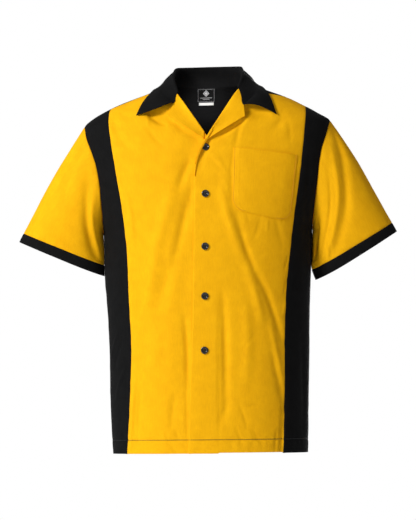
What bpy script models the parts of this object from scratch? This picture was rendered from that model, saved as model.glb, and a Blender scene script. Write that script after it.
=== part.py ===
"""Short-sleeved camp-collar bowling shirt, filled out as it is worn, with nobody in it.

Millimetres in the tables, metres in the meshes, +Z up, front towards -Y, wearer's left at +X.
The origin is midway between the two points where the shoulder seams meet the neck.
Each sewn piece is its own wall of cloth, shaped by one torso of horizontal rings,
two lofted sleeves and a lofted collar, and stops half a gap short of its seams.
"""
import math
from collections import namedtuple

import bmesh
import bpy
import numpy as np

MM = 0.001
CLOTH = 1.2           # one layer of shirting, with its seam allowances
DOUBLE = 2.0          # collar, lapels and cuffs: two layers and an interlining
LABEL = 1.0
GAP = 0.3             # between neighbouring pieces
LAP_GAP = 0.7         # between a panel and a piece that lies on it
SQUARENESS = 2.25     # exponent of the torso's rounded-oval rings
QUARTER = math.pi / 2

LEFT, RIGHT = 1, -1   # the wearer's sides, as the sign of X

YELLOW = (0.90, 0.45, 0.012)
BLACK = (0.012, 0.012, 0.013)
WHITE = (0.80, 0.80, 0.78)

# ---------------------------------------------------------------- the torso's shape
Section = namedtuple("Section", "height centre half_width front back lean front_rise")
TORSO = (
    Section(-765, 5.8, 202.6, 135, 126, 0.008, 9),
    Section(-716, 4.5, 204.5, 133, 124, 0.010, 8),
    Section(-650, 3.0, 206.0, 131, 120, 0.012, 5),
    Section(-570, 3.0, 207.5, 129, 117, 0.015, 2),
    Section(-480, 1.5, 210.0, 127, 115, 0.019, 0),
    Section(-390, 0.0, 214.5, 127, 117, 0.023, 0),
    Section(-305, 0.0, 217.0, 126, 120, 0.026, 0),
    Section(-270, 0.0, 228.0, 124, 122, 0.026, 0),
    Section(-221, 0.0, 245.0, 119, 123, 0.026, 0),
    Section(-160, -1.0, 256.0, 108, 120, 0.026, 0),
    Section(-130, -2.0, 259.5, 101, 117, 0.026, 0),
    Section(-105, -2.5, 260.0, 95, 113, 0.026, 0),
    Section(-81, -1.5, 255.5, 88, 108, 0.026, 0),
    Section(-62, -4.0, 229.5, 82, 103, 0.026, 0),
    Section(-47, -4.0, 202.0, 77, 99, 0.026, 0),
    Section(-27.5, 0.5, 156.5, 69, 92, 0.026, 0),
    Section(-15, 1.0, 121.5, 63, 86, 0.026, 0),
    Section(-6, 0.0, 100.0, 58, 80, 0.026, 0),
    Section(0, 0.0, 80.0, 55, 75, 0.026, 0),
)
SHOULDER_TIP, UNDERARM = -81, -305

# How far the seams lie from the middle, on the wearer's right (-X) and left (+X).
Seam = namedtuple("Seam", "height right left")
PRINCESS = (
    Seam(-765, 166, 154), Seam(-650, 160, 157), Seam(-550, 157, 157), Seam(-440, 162.5, 160),
    Seam(-355, 165.5, 167.5), Seam(-265, 175, 178), Seam(-180, 189, 190), Seam(-102, 202, 198),
    Seam(-70, 205, 201), Seam(-56, 204.5, 202), Seam(-49.5, 203, 202.5), Seam(-45, 200, 202.5),
)
ARMHOLE = (
    Seam(-305, 217, 217), Seam(-281, 218, 218), Seam(-214, 222.5, 224.5), Seam(-165, 230.5, 230),
    Seam(-146, 236.5, 233), Seam(-112, 249.5, 244), Seam(-97, 254, 248.5), Seam(-81, 257, 254),
)
# How many degrees in front of the ring's end the shoulder seam runs: the back comes a little over
# the shoulder, and on the wearer's left it comes further near the neck.
SHOULDER = (
    Seam(-49.5, 6, 3), Seam(-45, 9, 2), Seam(-40, 13, 2), Seam(-33, 14, 3), Seam(-29, 14, 11),
    Seam(-25, 14, 28), Seam(-21, 14, 37), Seam(-15, 14, 39), Seam(0, 14, 34),
)
# The free edges of the two fronts: the left one lies on top of the right one.
Edge = namedtuple("Edge", "height right left")
FRONT_EDGE = (
    Edge(-765, 10, -39.5), Edge(-629, 11, -36), Edge(-515, 11.5, -32), Edge(-430, 12, -30.4),
    Edge(-315, 12, -29), Edge(-217, 12.5, -28.4), Edge(-182, 13, -27), Edge(-158, 14, -24),
    Edge(-135, 13, -15.5), Edge(-117, 4, -5.3), Edge(-106, -4.5, 1), Edge(-60, -36.5, 31.2),
    Edge(-15.6, -66.5, 62.5), Edge(0, -80, 80),
)
ROLL_END, GORGE = -106, -15.6       # where the roll line starts on the edge, and ends at the collar
TUCK = 52                           # width over which the under front dips beneath the top one

HEIGHTS = (-765, -735, -690, -630, -570, -510, -450, -400, -350, -305, -299, -287, -268, -240,
           -210, -180, -152, -128, -110, -95, -85, -81, -68, -56, -49.5, -45, -40, -33, -29, -25,
           -21, -15, -9, -4, -1, 0)
SIDE_PANEL_TOP = {LEFT: -49.5, RIGHT: -45}
POINTED_TOP = math.radians(1)       # width left at a side panel's top, where it runs to a point
FRONT_COLUMNS, SIDE_COLUMNS, BACK_COLUMNS = 9, 5, 17


def column(table, name):
    return np.array([getattr(row, name) for row in table], dtype=float)


def through(table, name, heights):
    """Values of one column at any heights, on a smooth curve that never overshoots its rows."""
    at, values = column(table, table[0]._fields[0]), column(table, name)
    slopes = np.diff(values) / np.diff(at)
    tangents = np.concatenate(([slopes[0]], np.zeros(len(at) - 2), [slopes[-1]]))
    together = slopes[:-1] * slopes[1:] > 0
    mean = 2 * slopes[:-1] * slopes[1:] / np.where(together, slopes[:-1] + slopes[1:], 1)
    tangents[1:-1] = np.where(together, mean, 0)
    heights = np.clip(np.asarray(heights, dtype=float), at[0], at[-1])
    k = np.clip(np.searchsorted(at, heights, side="right") - 1, 0, len(at) - 2)
    width = (at[k + 1] - at[k])
    t = (heights - at[k]) / width
    return (values[k] * (1 + 2 * t) * (1 - t) ** 2 + tangents[k] * width * t * (1 - t) ** 2
            + values[k + 1] * t * t * (3 - 2 * t) + tangents[k + 1] * width * t * t * (t - 1))


def ring(angle, height):
    """Torso point at an angle from the middle of the front (0) over the wearer's left (90 degrees)."""
    angle, height = np.broadcast_arrays(np.asarray(angle, float), np.asarray(height, float))
    sine, cosine = np.sin(angle), np.cos(angle)
    power = 2 / SQUARENESS
    depth = np.where(cosine > 0, through(TORSO, "front", height), through(TORSO, "back", height))
    forward = np.sign(cosine) * np.abs(cosine) ** power
    x = (through(TORSO, "centre", height)
         + through(TORSO, "half_width", height) * np.sign(sine) * np.abs(sine) ** power)
    z = (height + x * through(TORSO, "lean", height)
         + through(TORSO, "front_rise", height) * np.maximum(forward, 0))
    return np.stack((x, -depth * forward, z), axis=-1)


def unit(vectors):
    return vectors / np.maximum(np.linalg.norm(vectors, axis=-1, keepdims=True), 1e-9)


def ring_normal(angle, height):
    """Outward direction of the torso's surface at the same angle and height."""
    turn, rise = 0.01, 1.0
    across = ring(angle + turn, height) - ring(angle - turn, height)
    up = ring(angle, np.minimum(height + rise, 0)) - ring(angle, np.minimum(height + rise, 0) - 2 * rise)
    return unit(np.cross(across, up))


def angle_at(x, height):
    """Angle of the front's point at a distance x from the middle, 90 degrees past the ring's end."""
    offset = x - through(TORSO, "centre", height)
    share = np.clip(np.abs(offset) / through(TORSO, "half_width", height), 0, 1)
    return np.sign(offset) * np.arcsin(share ** (SQUARENESS / 2))


def side_name(side):
    return "left" if side == LEFT else "right"


def princess_angle(side, height):
    return angle_at(side * through(PRINCESS, side_name(side), height), height)


def shoulder_angle(side, height):
    return side * (QUARTER - np.radians(through(SHOULDER, side_name(side), height)))


def front_side_angle(side, height):
    """Where a front ends: at its princess seam, and above that at the shoulder seam."""
    return side * np.minimum(side * princess_angle(side, height), side * shoulder_angle(side, height))


def armhole_angle(side, height):
    inside = (np.asarray(height) > UNDERARM) & (np.asarray(height) < SHOULDER_TIP)
    x = side * through(ARMHOLE, side_name(side), height)
    return np.where(inside, angle_at(x, height), side * QUARTER)


def front_edge_angle(side, height):
    return angle_at(through(FRONT_EDGE, side_name(side), height), height)


# ---------------------------------------------------------------- making the solids
def material(name, colour, roughness, metallic=0.0):
    finish = bpy.data.materials.new(name)
    finish.use_nodes = True
    shader = finish.node_tree.nodes["Principled BSDF"]
    shader.inputs["Base Color"].default_value = (*colour, 1)
    shader.inputs["Roughness"].default_value = roughness
    shader.inputs["Metallic"].default_value = metallic
    finish.diffuse_color = (*colour, 1)
    return finish


def add_object(name, bm, finish):
    mesh = bpy.data.meshes.new(name)
    bm.to_mesh(mesh)
    bm.free()
    mesh.materials.append(finish)
    mesh.shade_smooth()
    mesh.set_sharp_from_angle(angle=math.radians(50))
    piece = bpy.data.objects.new(name, mesh)
    shirt.objects.link(piece)
    return piece


def wall(name, outer, inner, finish, tube=False):
    """One closed wall of cloth between two grids of points; a tube's last column meets its first."""
    rows, columns = outer.shape[:2]
    outer, inner = outer.reshape(-1, 3) * MM, inner.reshape(-1, 3) * MM
    bm = bmesh.new()
    place = bm.verts.layers.int.new("place")
    bmesh.ops.create_grid(bm, x_segments=columns - 1, y_segments=rows - 1, size=1)
    for index, vert in enumerate(bm.verts):
        vert[place] = index
        vert.co = outer[index]
    if tube:
        bmesh.ops.remove_doubles(bm, verts=bm.verts[:], dist=0.00001)
    grown = bmesh.ops.extrude_face_region(bm, geom=bm.faces[:], use_keep_orig=True)["geom"]
    for vert in (item for item in grown if isinstance(item, bmesh.types.BMVert)):
        vert.co = inner[vert[place]]
    bmesh.ops.recalc_face_normals(bm, faces=bm.faces[:])
    return add_object(name, bm, finish)


def draw_in(grid, edges):
    """Moves the named edges of a grid half a gap towards the next row or column."""
    grid = grid.copy()
    for name in edges:
        edge, nearest = {"start": ((slice(None), 0), (slice(None), 1)),
                         "end": ((slice(None), -1), (slice(None), -2)),
                         "bottom": (0, 1), "top": (-1, -2)}[name]
        grid[edge] += unit(grid[nearest] - grid[edge]) * GAP / 2
    return grid


def panel(name, start, end, heights, columns, finish, sink=None, edges=("start", "end")):
    """A torso panel between two edge angles, each an array with one value for every height."""
    heights = np.asarray(heights, float)
    share = np.linspace(0, 1, columns)
    angles = start[:, None] * (1 - share) + end[:, None] * share
    levels = np.broadcast_to(heights[:, None], angles.shape)
    outer, normals = ring(angles, levels), ring_normal(angles, levels)
    if sink is not None:
        outer = outer - normals * sink(outer[..., 0], levels)[..., None]
    inner = outer - normals * CLOTH
    return wall(name, draw_in(outer, edges), draw_in(inner, edges), finish)


def smooth_step(value):
    value = np.clip(value, 0, 1)
    return value * value * (3 - 2 * value)


def under_front_dip(x, height):
    """How deep the right front lies beneath the left one's edge."""
    reach = x - through(FRONT_EDGE, "left", height) + TUCK
    return (CLOTH + LAP_GAP) * smooth_step(reach / (TUCK - 12)) * (height < ROLL_END + 12)


for leftover in list(bpy.data.objects):
    bpy.data.objects.remove(leftover, do_unlink=True)
shirt = bpy.data.collections.new("bowling_shirt")
bpy.context.scene.collection.children.link(shirt)
tools = bpy.data.collections.new("cutters")
bpy.context.scene.collection.children.link(tools)

yellow_cloth = material("yellow_cloth", YELLOW, 0.85)
black_cloth = material("black_cloth", BLACK, 0.85)
button_plastic = material("button_plastic", BLACK, 0.25)
label_cloth = material("label_cloth", BLACK, 0.6)
tab_cloth = material("tab_cloth", WHITE, 0.7)

# ---------------------------------------------------------------- torso panels
rows = np.array(HEIGHTS, float)
for side in (LEFT, RIGHT):
    inner_edge = front_edge_angle(side, rows)
    outer_edge = front_side_angle(side, rows)
    levels = rows[side * (outer_edge - inner_edge) > math.radians(2)]
    inner_edge, outer_edge = inner_edge[:len(levels)], outer_edge[:len(levels)]
    panel(f"front_{side_name(side)}", inner_edge, outer_edge, levels, FRONT_COLUMNS, yellow_cloth,
          sink=under_front_dip if side == RIGHT else None)
    levels = rows[rows <= SIDE_PANEL_TOP[side]]
    start, end = front_side_angle(side, levels), armhole_angle(side, levels)
    end[-1] = start[-1] + side * POINTED_TOP
    panel(f"side_panel_{side_name(side)}", start, end, levels, SIDE_COLUMNS, black_cloth)
back_edges = []
for side in (LEFT, RIGHT):
    over_shoulder = np.maximum(side * shoulder_angle(side, rows), side * front_edge_angle(side, rows))
    over_shoulder = np.maximum(over_shoulder, side * front_side_angle(side, rows) + POINTED_TOP)
    below = math.pi - side * armhole_angle(side, rows)
    back_edges.append(np.where(rows >= SIDE_PANEL_TOP[side], over_shoulder, below))
panel("back", back_edges[0], 2 * math.pi - back_edges[1], rows, BACK_COLUMNS, black_cloth)

# ---------------------------------------------------------------- sleeves and cuffs
# Corner points (x, z) of the cuff seam and of the cuff's open end, on each side.
Sleeve = namedtuple("Sleeve", "side seam_outer seam_inner end_outer end_inner")
SLEEVES = (
    Sleeve(LEFT, (382.5, -286.5), (222.5, -384.5), (392.5, -304.5), (233.5, -405.5)),
    Sleeve(RIGHT, (-383, -309), (-217.5, -375.5), (-392, -327), (-221, -398)),
)
# Direction in which the sleeve leaves the armhole, by degrees round it from the shoulder tip.
Start = namedtuple("Start", "around out forward down")
STARTS = (Start(0, 0.53, 0.00, -0.85), Start(90, 0.72, 0.12, -0.68), Start(180, 0.30, 0.00, -0.95))
SEAM_DEPTH, END_DEPTH = 47, 43      # half the sleeve's size in Y, at the cuff seam and at the open end
SLEEVE_SQUARENESS = 2.2
SLEEVE_RINGS = 9


def armhole_ring(side):
    """Points round the armhole, from the shoulder tip down the front and up the back, and how far round."""
    levels = rows[(rows >= UNDERARM) & (rows <= SHOULDER_TIP)][::-1]
    front = ring(armhole_angle(side, levels), levels)
    back = ring(math.pi - armhole_angle(side, levels), levels)
    middle = (SHOULDER_TIP + UNDERARM) / 2
    half = np.arccos(np.clip((levels - middle) / (SHOULDER_TIP - middle), -1, 1))
    points = np.concatenate((front, back[-2::-1]))
    return points, np.concatenate((half, 2 * math.pi - half[-2::-1]))


def oval(outer, inner, depth, around):
    """Ring of points about the line between two (x, z) corners, starting at the outer one."""
    outer, inner = np.array((outer[0], 0, outer[1])), np.array((inner[0], 0, inner[1]))
    centre, half = (outer + inner) / 2, (outer - inner) / 2
    power = 2 / SLEEVE_SQUARENESS
    cosine, sine = np.cos(around), np.sin(around)
    along = (np.sign(cosine) * np.abs(cosine) ** power)[:, None]
    forward = (np.sign(sine) * np.abs(sine) ** power)[:, None]
    return centre + along * half + forward * np.array((0, -depth, 0))


def start_directions(side, around):
    """Unit directions in which the sleeve cloth leaves the armhole."""
    fold = np.degrees(np.minimum(around, 2 * math.pi - around))
    out, forward, down = (through(STARTS, name, fold) for name in ("out", "forward", "down"))
    towards = np.where(around > math.pi, 1, -1)
    return unit(np.stack((side * out, towards * forward, down), axis=-1))


def grid_normals(grid, wrap=False):
    """Unit normals of a grid of points, rows by columns; a wrapped grid's last column is its first."""
    if wrap:
        padded = np.concatenate((grid[:, -2:-1], grid, grid[:, 1:2]), axis=1)
        across = (padded[:, 2:] - padded[:, :-2])
    else:
        across = np.gradient(grid, axis=1)
    return unit(np.cross(across, np.gradient(grid, axis=0)))


for sleeve in SLEEVES:
    side, name = sleeve.side, side_name(sleeve.side)
    armhole, around = armhole_ring(side)
    starts = start_directions(side, around)
    seam = oval(sleeve.seam_outer, sleeve.seam_inner, SEAM_DEPTH, around)
    end = oval(sleeve.end_outer, sleeve.end_inner, END_DEPTH, around)
    along = unit(end - seam)
    first = armhole + starts * GAP / 2
    length = np.linalg.norm(seam - first, axis=1, keepdims=True)
    grid = []
    for t in np.linspace(0, 1, SLEEVE_RINGS):
        grid.append(first * (1 + 2 * t) * (1 - t) ** 2 + starts * length * t * (1 - t) ** 2
                    + seam * t * t * (3 - 2 * t) + along * length * t * t * (t - 1))
    grid = np.array(grid)
    normals = side * grid_normals(grid, wrap=True)
    inner = grid - normals * CLOTH
    wall(f"sleeve_{name}", draw_in(grid, ("top",)), draw_in(inner, ("top",)), yellow_cloth, tube=True)
    cuff = np.array([seam + (end - seam) * t for t in (0, 0.5, 1)])
    cuff_normals = np.repeat(normals[-1:], 3, axis=0)
    outside = cuff + cuff_normals * (DOUBLE - CLOTH) / 2
    inside = outside - cuff_normals * DOUBLE
    wall(f"cuff_{name}", draw_in(outside, ("bottom",)), draw_in(inside, ("bottom",)), black_cloth,
         tube=True)

# ---------------------------------------------------------------- collar
# Stations round the neck seam, from the gorge (0) to the middle of the back (6), on the wearer's
# left: where the seam is, how far the roll stands inside and above it, a point part way down the
# fall, and the outer edge.
Station = namedtuple("Station", "at seam_height seam_angle roll_in roll_up mid_x mid_y mid_z x y z")
COLLAR = (
    Station(0, GORGE, 0, 0.0, 6.0, 71, -70, -47, 142, -71, -66),
    Station(1, -8.0, 0, 3.0, 13.0, 96, -50, -24, 130, -54, -42),
    Station(2, -2.0, 0, 7.0, 20.0, 94, -26, -3, 116, -31, -20),
    Station(3, 0.0, 98, 8.0, 28.0, 96, 6, 8, 105, 5, -8),
    Station(4, 0.0, 128, 5.0, 40.0, 93, 42, 15, 106, 48, -24),
    Station(5, 0.0, 154, 6.0, 41.5, 68, 72, 10, 80, 82, -36),
    Station(6, 0.0, 180, 7.0, 42.0, 0, 86, 4, 0, 103, -42),
)
# The front edge: where the gorge seam ends at the notch (x, z), the collar's tip, the lapel's
# corner, and the lapel's lower end beside the edge of the front.
Notch = namedtuple("Notch", "side notch_x notch_z tip_x tip_z corner_x corner_z foot_x foot_z")
NOTCHES = (
    Notch(LEFT, 72.3, -48.3, 139.7, -66.8, 75.1, -70.4, -1.0, -117.5),
    Notch(RIGHT, -69.9, -44.2, -146.4, -68.5, -81.6, -69.4, -9.0, -116.0),
)
TIP_BOW = 2                         # how far the collar's front edge arches above a straight line
NECK_BOW = {LEFT: 10, RIGHT: 6}     # how far its stand bows out beside the neck
FOLD = 2.6                          # radius of the fold's middle line
COLLAR_LIFT, LAPEL_LIFT = 2.2, 0.8  # clear height over the torso, of the collar and of the lapels' roll
LAPEL_RISE = 3.0                    # extra lift at a lapel's outer edge
STATIONS_BETWEEN = 3
NECK_MIDDLE = np.array((0, 12.0, 0))


def on_front(x, z):
    """Angle and height of the front's point that shows at (x, z), found by undoing the lean."""
    x, z = np.broadcast_arrays(np.asarray(x, float), np.asarray(z, float))
    height = z
    for _ in range(4):
        forward = np.maximum(np.cos(angle_at(x, height)), 0) ** (2 / SQUARENESS)
        height = (z - x * through(TORSO, "lean", height)
                  - through(TORSO, "front_rise", height) * forward)
    return angle_at(x, height), height


def torso_share(points):
    """1 on the torso's surface, less inside it and more outside."""
    x, y, z = points[..., 0], points[..., 1], points[..., 2]
    height = z - x * through(TORSO, "lean", z)
    depth = np.where(y < 0, through(TORSO, "front", height), through(TORSO, "back", height))
    # above the neck the rings go on shrinking, so that the shoulders' slope has no step
    shrink = np.clip(1 - height / 60, 0.2, 1)
    half = through(TORSO, "half_width", height) * shrink
    across = np.abs(x - through(TORSO, "centre", height)) / half
    return (across ** SQUARENESS + (np.abs(y) / (depth * shrink)) ** SQUARENESS) ** (1 / SQUARENESS)


def clear_of_torso(points, lift):
    """Moves points out, where they need it, to lie at least so far above the torso."""
    points = points.copy()
    step = 0.5
    for _ in range(6):
        share = torso_share(points)
        slope = np.stack([(torso_share(points + step * axis) - torso_share(points - step * axis))
                          / (2 * step) for axis in np.eye(3)], axis=-1)
        steepness = np.maximum(np.linalg.norm(slope, axis=-1), 1e-6)
        missing = np.maximum(lift - (share - 1) / steepness, 0)
        points += (missing / steepness)[..., None] * slope
    return points


def collar_half(side, stations):
    """Middle line of the collar's cloth on one side: rows from the seam over the roll to the edge."""
    def value(name):
        return through(COLLAR, name, stations)

    seam_height = value("seam_height")
    on_edge = stations < 3
    angle = np.where(on_edge, front_edge_angle(side, seam_height), side * np.radians(value("seam_angle")))
    seam = ring(angle, seam_height)
    outward = unit((seam - NECK_MIDDLE) * (1, 1, 0))
    upright = np.array((0, 0, 1.0))
    roll_up, roll_in = value("roll_up")[:, None], value("roll_in")[:, None]
    radius = np.minimum(FOLD, roll_up * 0.6)
    fold_centre = seam - outward * roll_in + upright * (roll_up - radius)
    fold = [fold_centre + radius * (math.cos(turn) * outward + math.sin(turn) * upright)
            for turn in np.radians((180, 130, 90, 50, 0))]
    base = seam + unit(fold[0] - seam) * GAP
    notch = next(row for row in NOTCHES if row.side == side)
    middle = np.stack((side * value("mid_x"), value("mid_y"), value("mid_z")), axis=-1)
    edge = np.stack((side * value("x"), value("y"), value("z")), axis=-1)
    lean = through(TORSO, "lean", 0)
    middle[:, 2] += middle[:, 0] * lean
    edge[:, 2] += edge[:, 0] * lean
    # the notch and the tip differ between the sides; the difference dies out by the third station
    fading = (1 - smooth_step(stations / 2))[:, None]
    middle += fading * (np.array((notch.notch_x, middle[0, 1], notch.notch_z)) - middle[0])
    edge += fading * (np.array((notch.tip_x, edge[0, 1], notch.tip_z)) - edge[0])
    fall = [fold[-1] + (middle - fold[-1]) / 2, middle]
    for share in (1 / 3, 2 / 3, 1):
        arch = fading * 4 * share * (1 - share) * TIP_BOW
        fall.append(middle + (edge - middle) * share + arch * upright)
    fall = [clear_of_torso(points, COLLAR_LIFT + DOUBLE / 2) for points in [fold[-1]] + fall]
    rows = np.array([base, base + (fold[0] - base) / 2] + fold[:-1] + fall)
    bowed = side * NECK_BOW[side] * np.exp(-((stations - 4.3) / 0.8) ** 2)
    rows[..., 0] += bowed * np.clip((np.arange(len(rows)) - 1) / 4, 0, 1)[:, None]
    return rows


stations = np.linspace(0, 6, 6 * STATIONS_BETWEEN + 1)
left_half, right_half = (collar_half(side, stations) for side in (LEFT, RIGHT))
collar = np.concatenate((right_half, left_half[:, -2::-1]), axis=1)
across = grid_normals(collar) * DOUBLE / 2
wall("collar", draw_in(collar + across, ("start", "end")), draw_in(collar - across, ("start", "end")),
     black_cloth)

# ---------------------------------------------------------------- lapels
LAPEL_ROWS, LAPEL_COLUMNS = 9, 6
NOTCH_SHARE = 0.6                   # the gorge seam's share of a lapel's top, whose rest is free
LAPEL_START = {LEFT: -115.5, RIGHT: -102}


def on_torso(x, z, lift):
    """Points over the front at (x, z), lifted along its normal."""
    angle, height = on_front(x, z)
    return ring(angle, height) + ring_normal(angle, height) * np.asarray(lift, float)[..., None]


for notch in NOTCHES:
    side = notch.side
    up = np.linspace(0, 1, LAPEL_ROWS)[:, None]
    over = np.linspace(0, 1, LAPEL_COLUMNS)[None, :]
    heights = LAPEL_START[side] + (GORGE - LAPEL_START[side]) * up
    roll_x = through(FRONT_EDGE, side_name(side), heights)
    roll_z = heights + roll_x * through(TORSO, "lean", heights)
    outer_x = notch.foot_x + (notch.corner_x - notch.foot_x) * up
    outer_z = notch.foot_z + (notch.corner_z - notch.foot_z) * up
    # the top row bends to pass through the notch
    towards = np.where(over < NOTCH_SHARE, over / NOTCH_SHARE, (1 - over) / (1 - NOTCH_SHARE)) * up ** 4
    bend_x = notch.notch_x - (roll_x[-1] + (notch.corner_x - roll_x[-1]) * NOTCH_SHARE)
    bend_z = notch.notch_z - (roll_z[-1] + (notch.corner_z - roll_z[-1]) * NOTCH_SHARE)
    x = roll_x + (outer_x - roll_x) * over + bend_x * towards
    z = roll_z + (outer_z - roll_z) * over + bend_z * towards
    lift = LAPEL_LIFT + LAPEL_RISE * over ** 1.5 * np.ones_like(x)
    outer, inner = on_torso(x, z, lift + DOUBLE), on_torso(x, z, lift)
    wall(f"lapel_{side_name(side)}", draw_in(outer, ("start", "top")), draw_in(inner, ("start", "top")),
         yellow_cloth)

# ---------------------------------------------------------------- chest pocket, wearer's left
POCKET_CORNERS = ((52.6, -134.2), (182.9, -149.2), (49.0, -260.7), (167.5, -286.4))
POCKET_RADIUS = 22
POCKET_ROWS, POCKET_COLUMNS = 6, 8

(left_top, right_top, left_foot, right_foot) = (np.array(corner) for corner in POCKET_CORNERS)
depth = np.linalg.norm(left_foot - left_top)
rounding = np.linspace(0, QUARTER, 4)
drops = np.concatenate((np.linspace(0, depth - POCKET_RADIUS, POCKET_ROWS)[:-1],
                        depth - POCKET_RADIUS * (1 - np.sin(rounding))))
insets = np.concatenate((np.zeros(POCKET_ROWS - 1), POCKET_RADIUS * (1 - np.cos(rounding))))
pocket = []
for drop, inset in zip(drops, insets):
    start = left_top + (left_foot - left_top) * drop / depth
    end = right_top + (right_foot - right_top) * drop / depth
    width = np.linalg.norm(end - start)
    shares = np.linspace(inset / width, 1 - inset / width, POCKET_COLUMNS)[:, None]
    pocket.append(start + (end - start) * shares)
pocket = np.array(pocket)[::-1]
wall("pocket", on_torso(pocket[..., 0], pocket[..., 1], np.full(pocket.shape[:2], LAP_GAP + CLOTH)),
     on_torso(pocket[..., 0], pocket[..., 1], np.full(pocket.shape[:2], LAP_GAP)), yellow_cloth)

# ---------------------------------------------------------------- neck label and size tab
Patch = namedtuple("Patch", "name start end top foot")
PATCHES = (
    (Patch("neck_label", -23, 15, -1.0, -29.5), label_cloth),
    (Patch("size_tab", -19, 12, -30.2, -35.8), tab_cloth),
)
LABEL_GAP = 1.5                     # the back's flat facets cut inside its curve here
for patch, finish in PATCHES:
    heights = np.linspace(patch.foot, patch.top, 5)[:, None]
    angles = math.pi - angle_at(np.linspace(patch.start, patch.end, 5)[None, :], heights)
    levels = np.broadcast_to(heights, angles.shape)
    surface, normals = ring(angles, levels), ring_normal(angles, levels)
    wall(patch.name, surface - normals * (CLOTH + LABEL_GAP),
         surface - normals * (CLOTH + LABEL_GAP + LABEL), finish)

# ---------------------------------------------------------------- buttons
BUTTON_RADIUS, BUTTON_LIFT = 7.6, 0.5
HOLE_RADIUS, HOLE_SPREAD = 0.95, 1.55
# Half the button's section from the middle of its face to the middle of its back: (radius, height).
BUTTON_SECTION = ((0, 1.3), (4.0, 1.5), (4.7, 2.6), (6.4, 2.9), (7.6, 1.7), (6.6, 0.4), (4.5, 0), (0, 0.2))
Button = namedtuple("Button", "x z")
BUTTONS = (Button(-4.7, -133), Button(-5.3, -229), Button(-5.9, -336), Button(-6.3, -437),
           Button(-6.9, -547))


def button_hole(offset_x, offset_y):
    bm = bmesh.new()
    bmesh.ops.create_cone(bm, cap_ends=True, segments=8, radius1=HOLE_RADIUS * MM,
                          radius2=HOLE_RADIUS * MM, depth=8 * MM)
    bmesh.ops.translate(bm, verts=bm.verts[:], vec=(offset_x * MM, offset_y * MM, 0))
    return bm


holes = bpy.data.meshes.new("button_holes")
bm = bmesh.new()
for turn in range(4):
    one = button_hole(HOLE_SPREAD * math.sqrt(2) * math.cos(math.radians(45 + 90 * turn)),
                      HOLE_SPREAD * math.sqrt(2) * math.sin(math.radians(45 + 90 * turn)))
    one_mesh = bpy.data.meshes.new("one_hole")
    one.to_mesh(one_mesh)
    one.free()
    bm.from_mesh(one_mesh)
    bpy.data.meshes.remove(one_mesh)
bm.to_mesh(holes)
bm.free()

for number, button in enumerate(BUTTONS, start=1):
    bm = bmesh.new()
    ends = [bm.verts.new((radius * MM, 0, height * MM)) for radius, height in BUTTON_SECTION]
    edges = [bm.edges.new(pair) for pair in zip(ends, ends[1:])]
    bmesh.ops.spin(bm, geom=ends + edges, axis=(0, 0, 1), cent=(0, 0, 0), steps=20,
                   angle=2 * math.pi, use_merge=True)
    bmesh.ops.remove_doubles(bm, verts=bm.verts[:], dist=0.00001)
    bmesh.ops.recalc_face_normals(bm, faces=bm.faces[:])
    piece = add_object(f"button_{number}", bm, button_plastic)
    angle, height = on_front(button.x, button.z)
    normal = ring_normal(angle, height)
    piece.location = [float(value) * MM for value in ring(angle, height) + normal * BUTTON_LIFT]
    piece.rotation_euler = (math.radians(90) - math.asin(float(normal[2])), 0,
                            math.atan2(float(normal[0]), float(-normal[1])))
    cutter = bpy.data.objects.new(f"holes_{number}", holes)
    tools.objects.link(cutter)
    cutter.parent = piece
    cutter.hide_render = True
    cutter.display_type = "WIRE"
    cut = piece.modifiers.new("sewing_holes", "BOOLEAN")
    cut.object = cutter
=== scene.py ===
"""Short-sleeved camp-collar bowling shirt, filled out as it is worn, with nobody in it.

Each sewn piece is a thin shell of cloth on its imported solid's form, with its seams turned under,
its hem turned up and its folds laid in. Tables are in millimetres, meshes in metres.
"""

import math
from collections import namedtuple

import bmesh
import bpy
import numpy as np
from mathutils import Matrix, Vector


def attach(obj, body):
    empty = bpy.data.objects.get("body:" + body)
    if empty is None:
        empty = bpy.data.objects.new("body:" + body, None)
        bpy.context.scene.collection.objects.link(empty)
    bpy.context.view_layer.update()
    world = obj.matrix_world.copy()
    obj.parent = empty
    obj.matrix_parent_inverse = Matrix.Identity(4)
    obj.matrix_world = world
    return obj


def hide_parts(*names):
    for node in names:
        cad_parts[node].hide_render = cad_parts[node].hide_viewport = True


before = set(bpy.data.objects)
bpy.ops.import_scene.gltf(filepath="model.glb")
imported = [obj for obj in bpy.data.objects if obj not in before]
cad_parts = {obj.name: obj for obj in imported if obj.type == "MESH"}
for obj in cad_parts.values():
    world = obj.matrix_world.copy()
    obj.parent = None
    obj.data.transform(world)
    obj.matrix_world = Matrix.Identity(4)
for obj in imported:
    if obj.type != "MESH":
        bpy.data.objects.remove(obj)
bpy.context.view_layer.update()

# ---------------------------------------------------------------- back
# One piece of black poplin from side seam to side seam. It comes a little over the shoulders to
# meet the fronts, and its neck edge goes up into the collar. Nothing is pleated or gathered.
MM = 0.001
QUARTER = math.pi / 2
LEFT, RIGHT = 1, -1                  # the wearer's sides, as the sign of X
SQUARENESS = 2.25                    # exponent of the torso's rounded-oval rings
GAP = -0.2                           # neighbouring pieces press into each other at a seam

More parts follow.
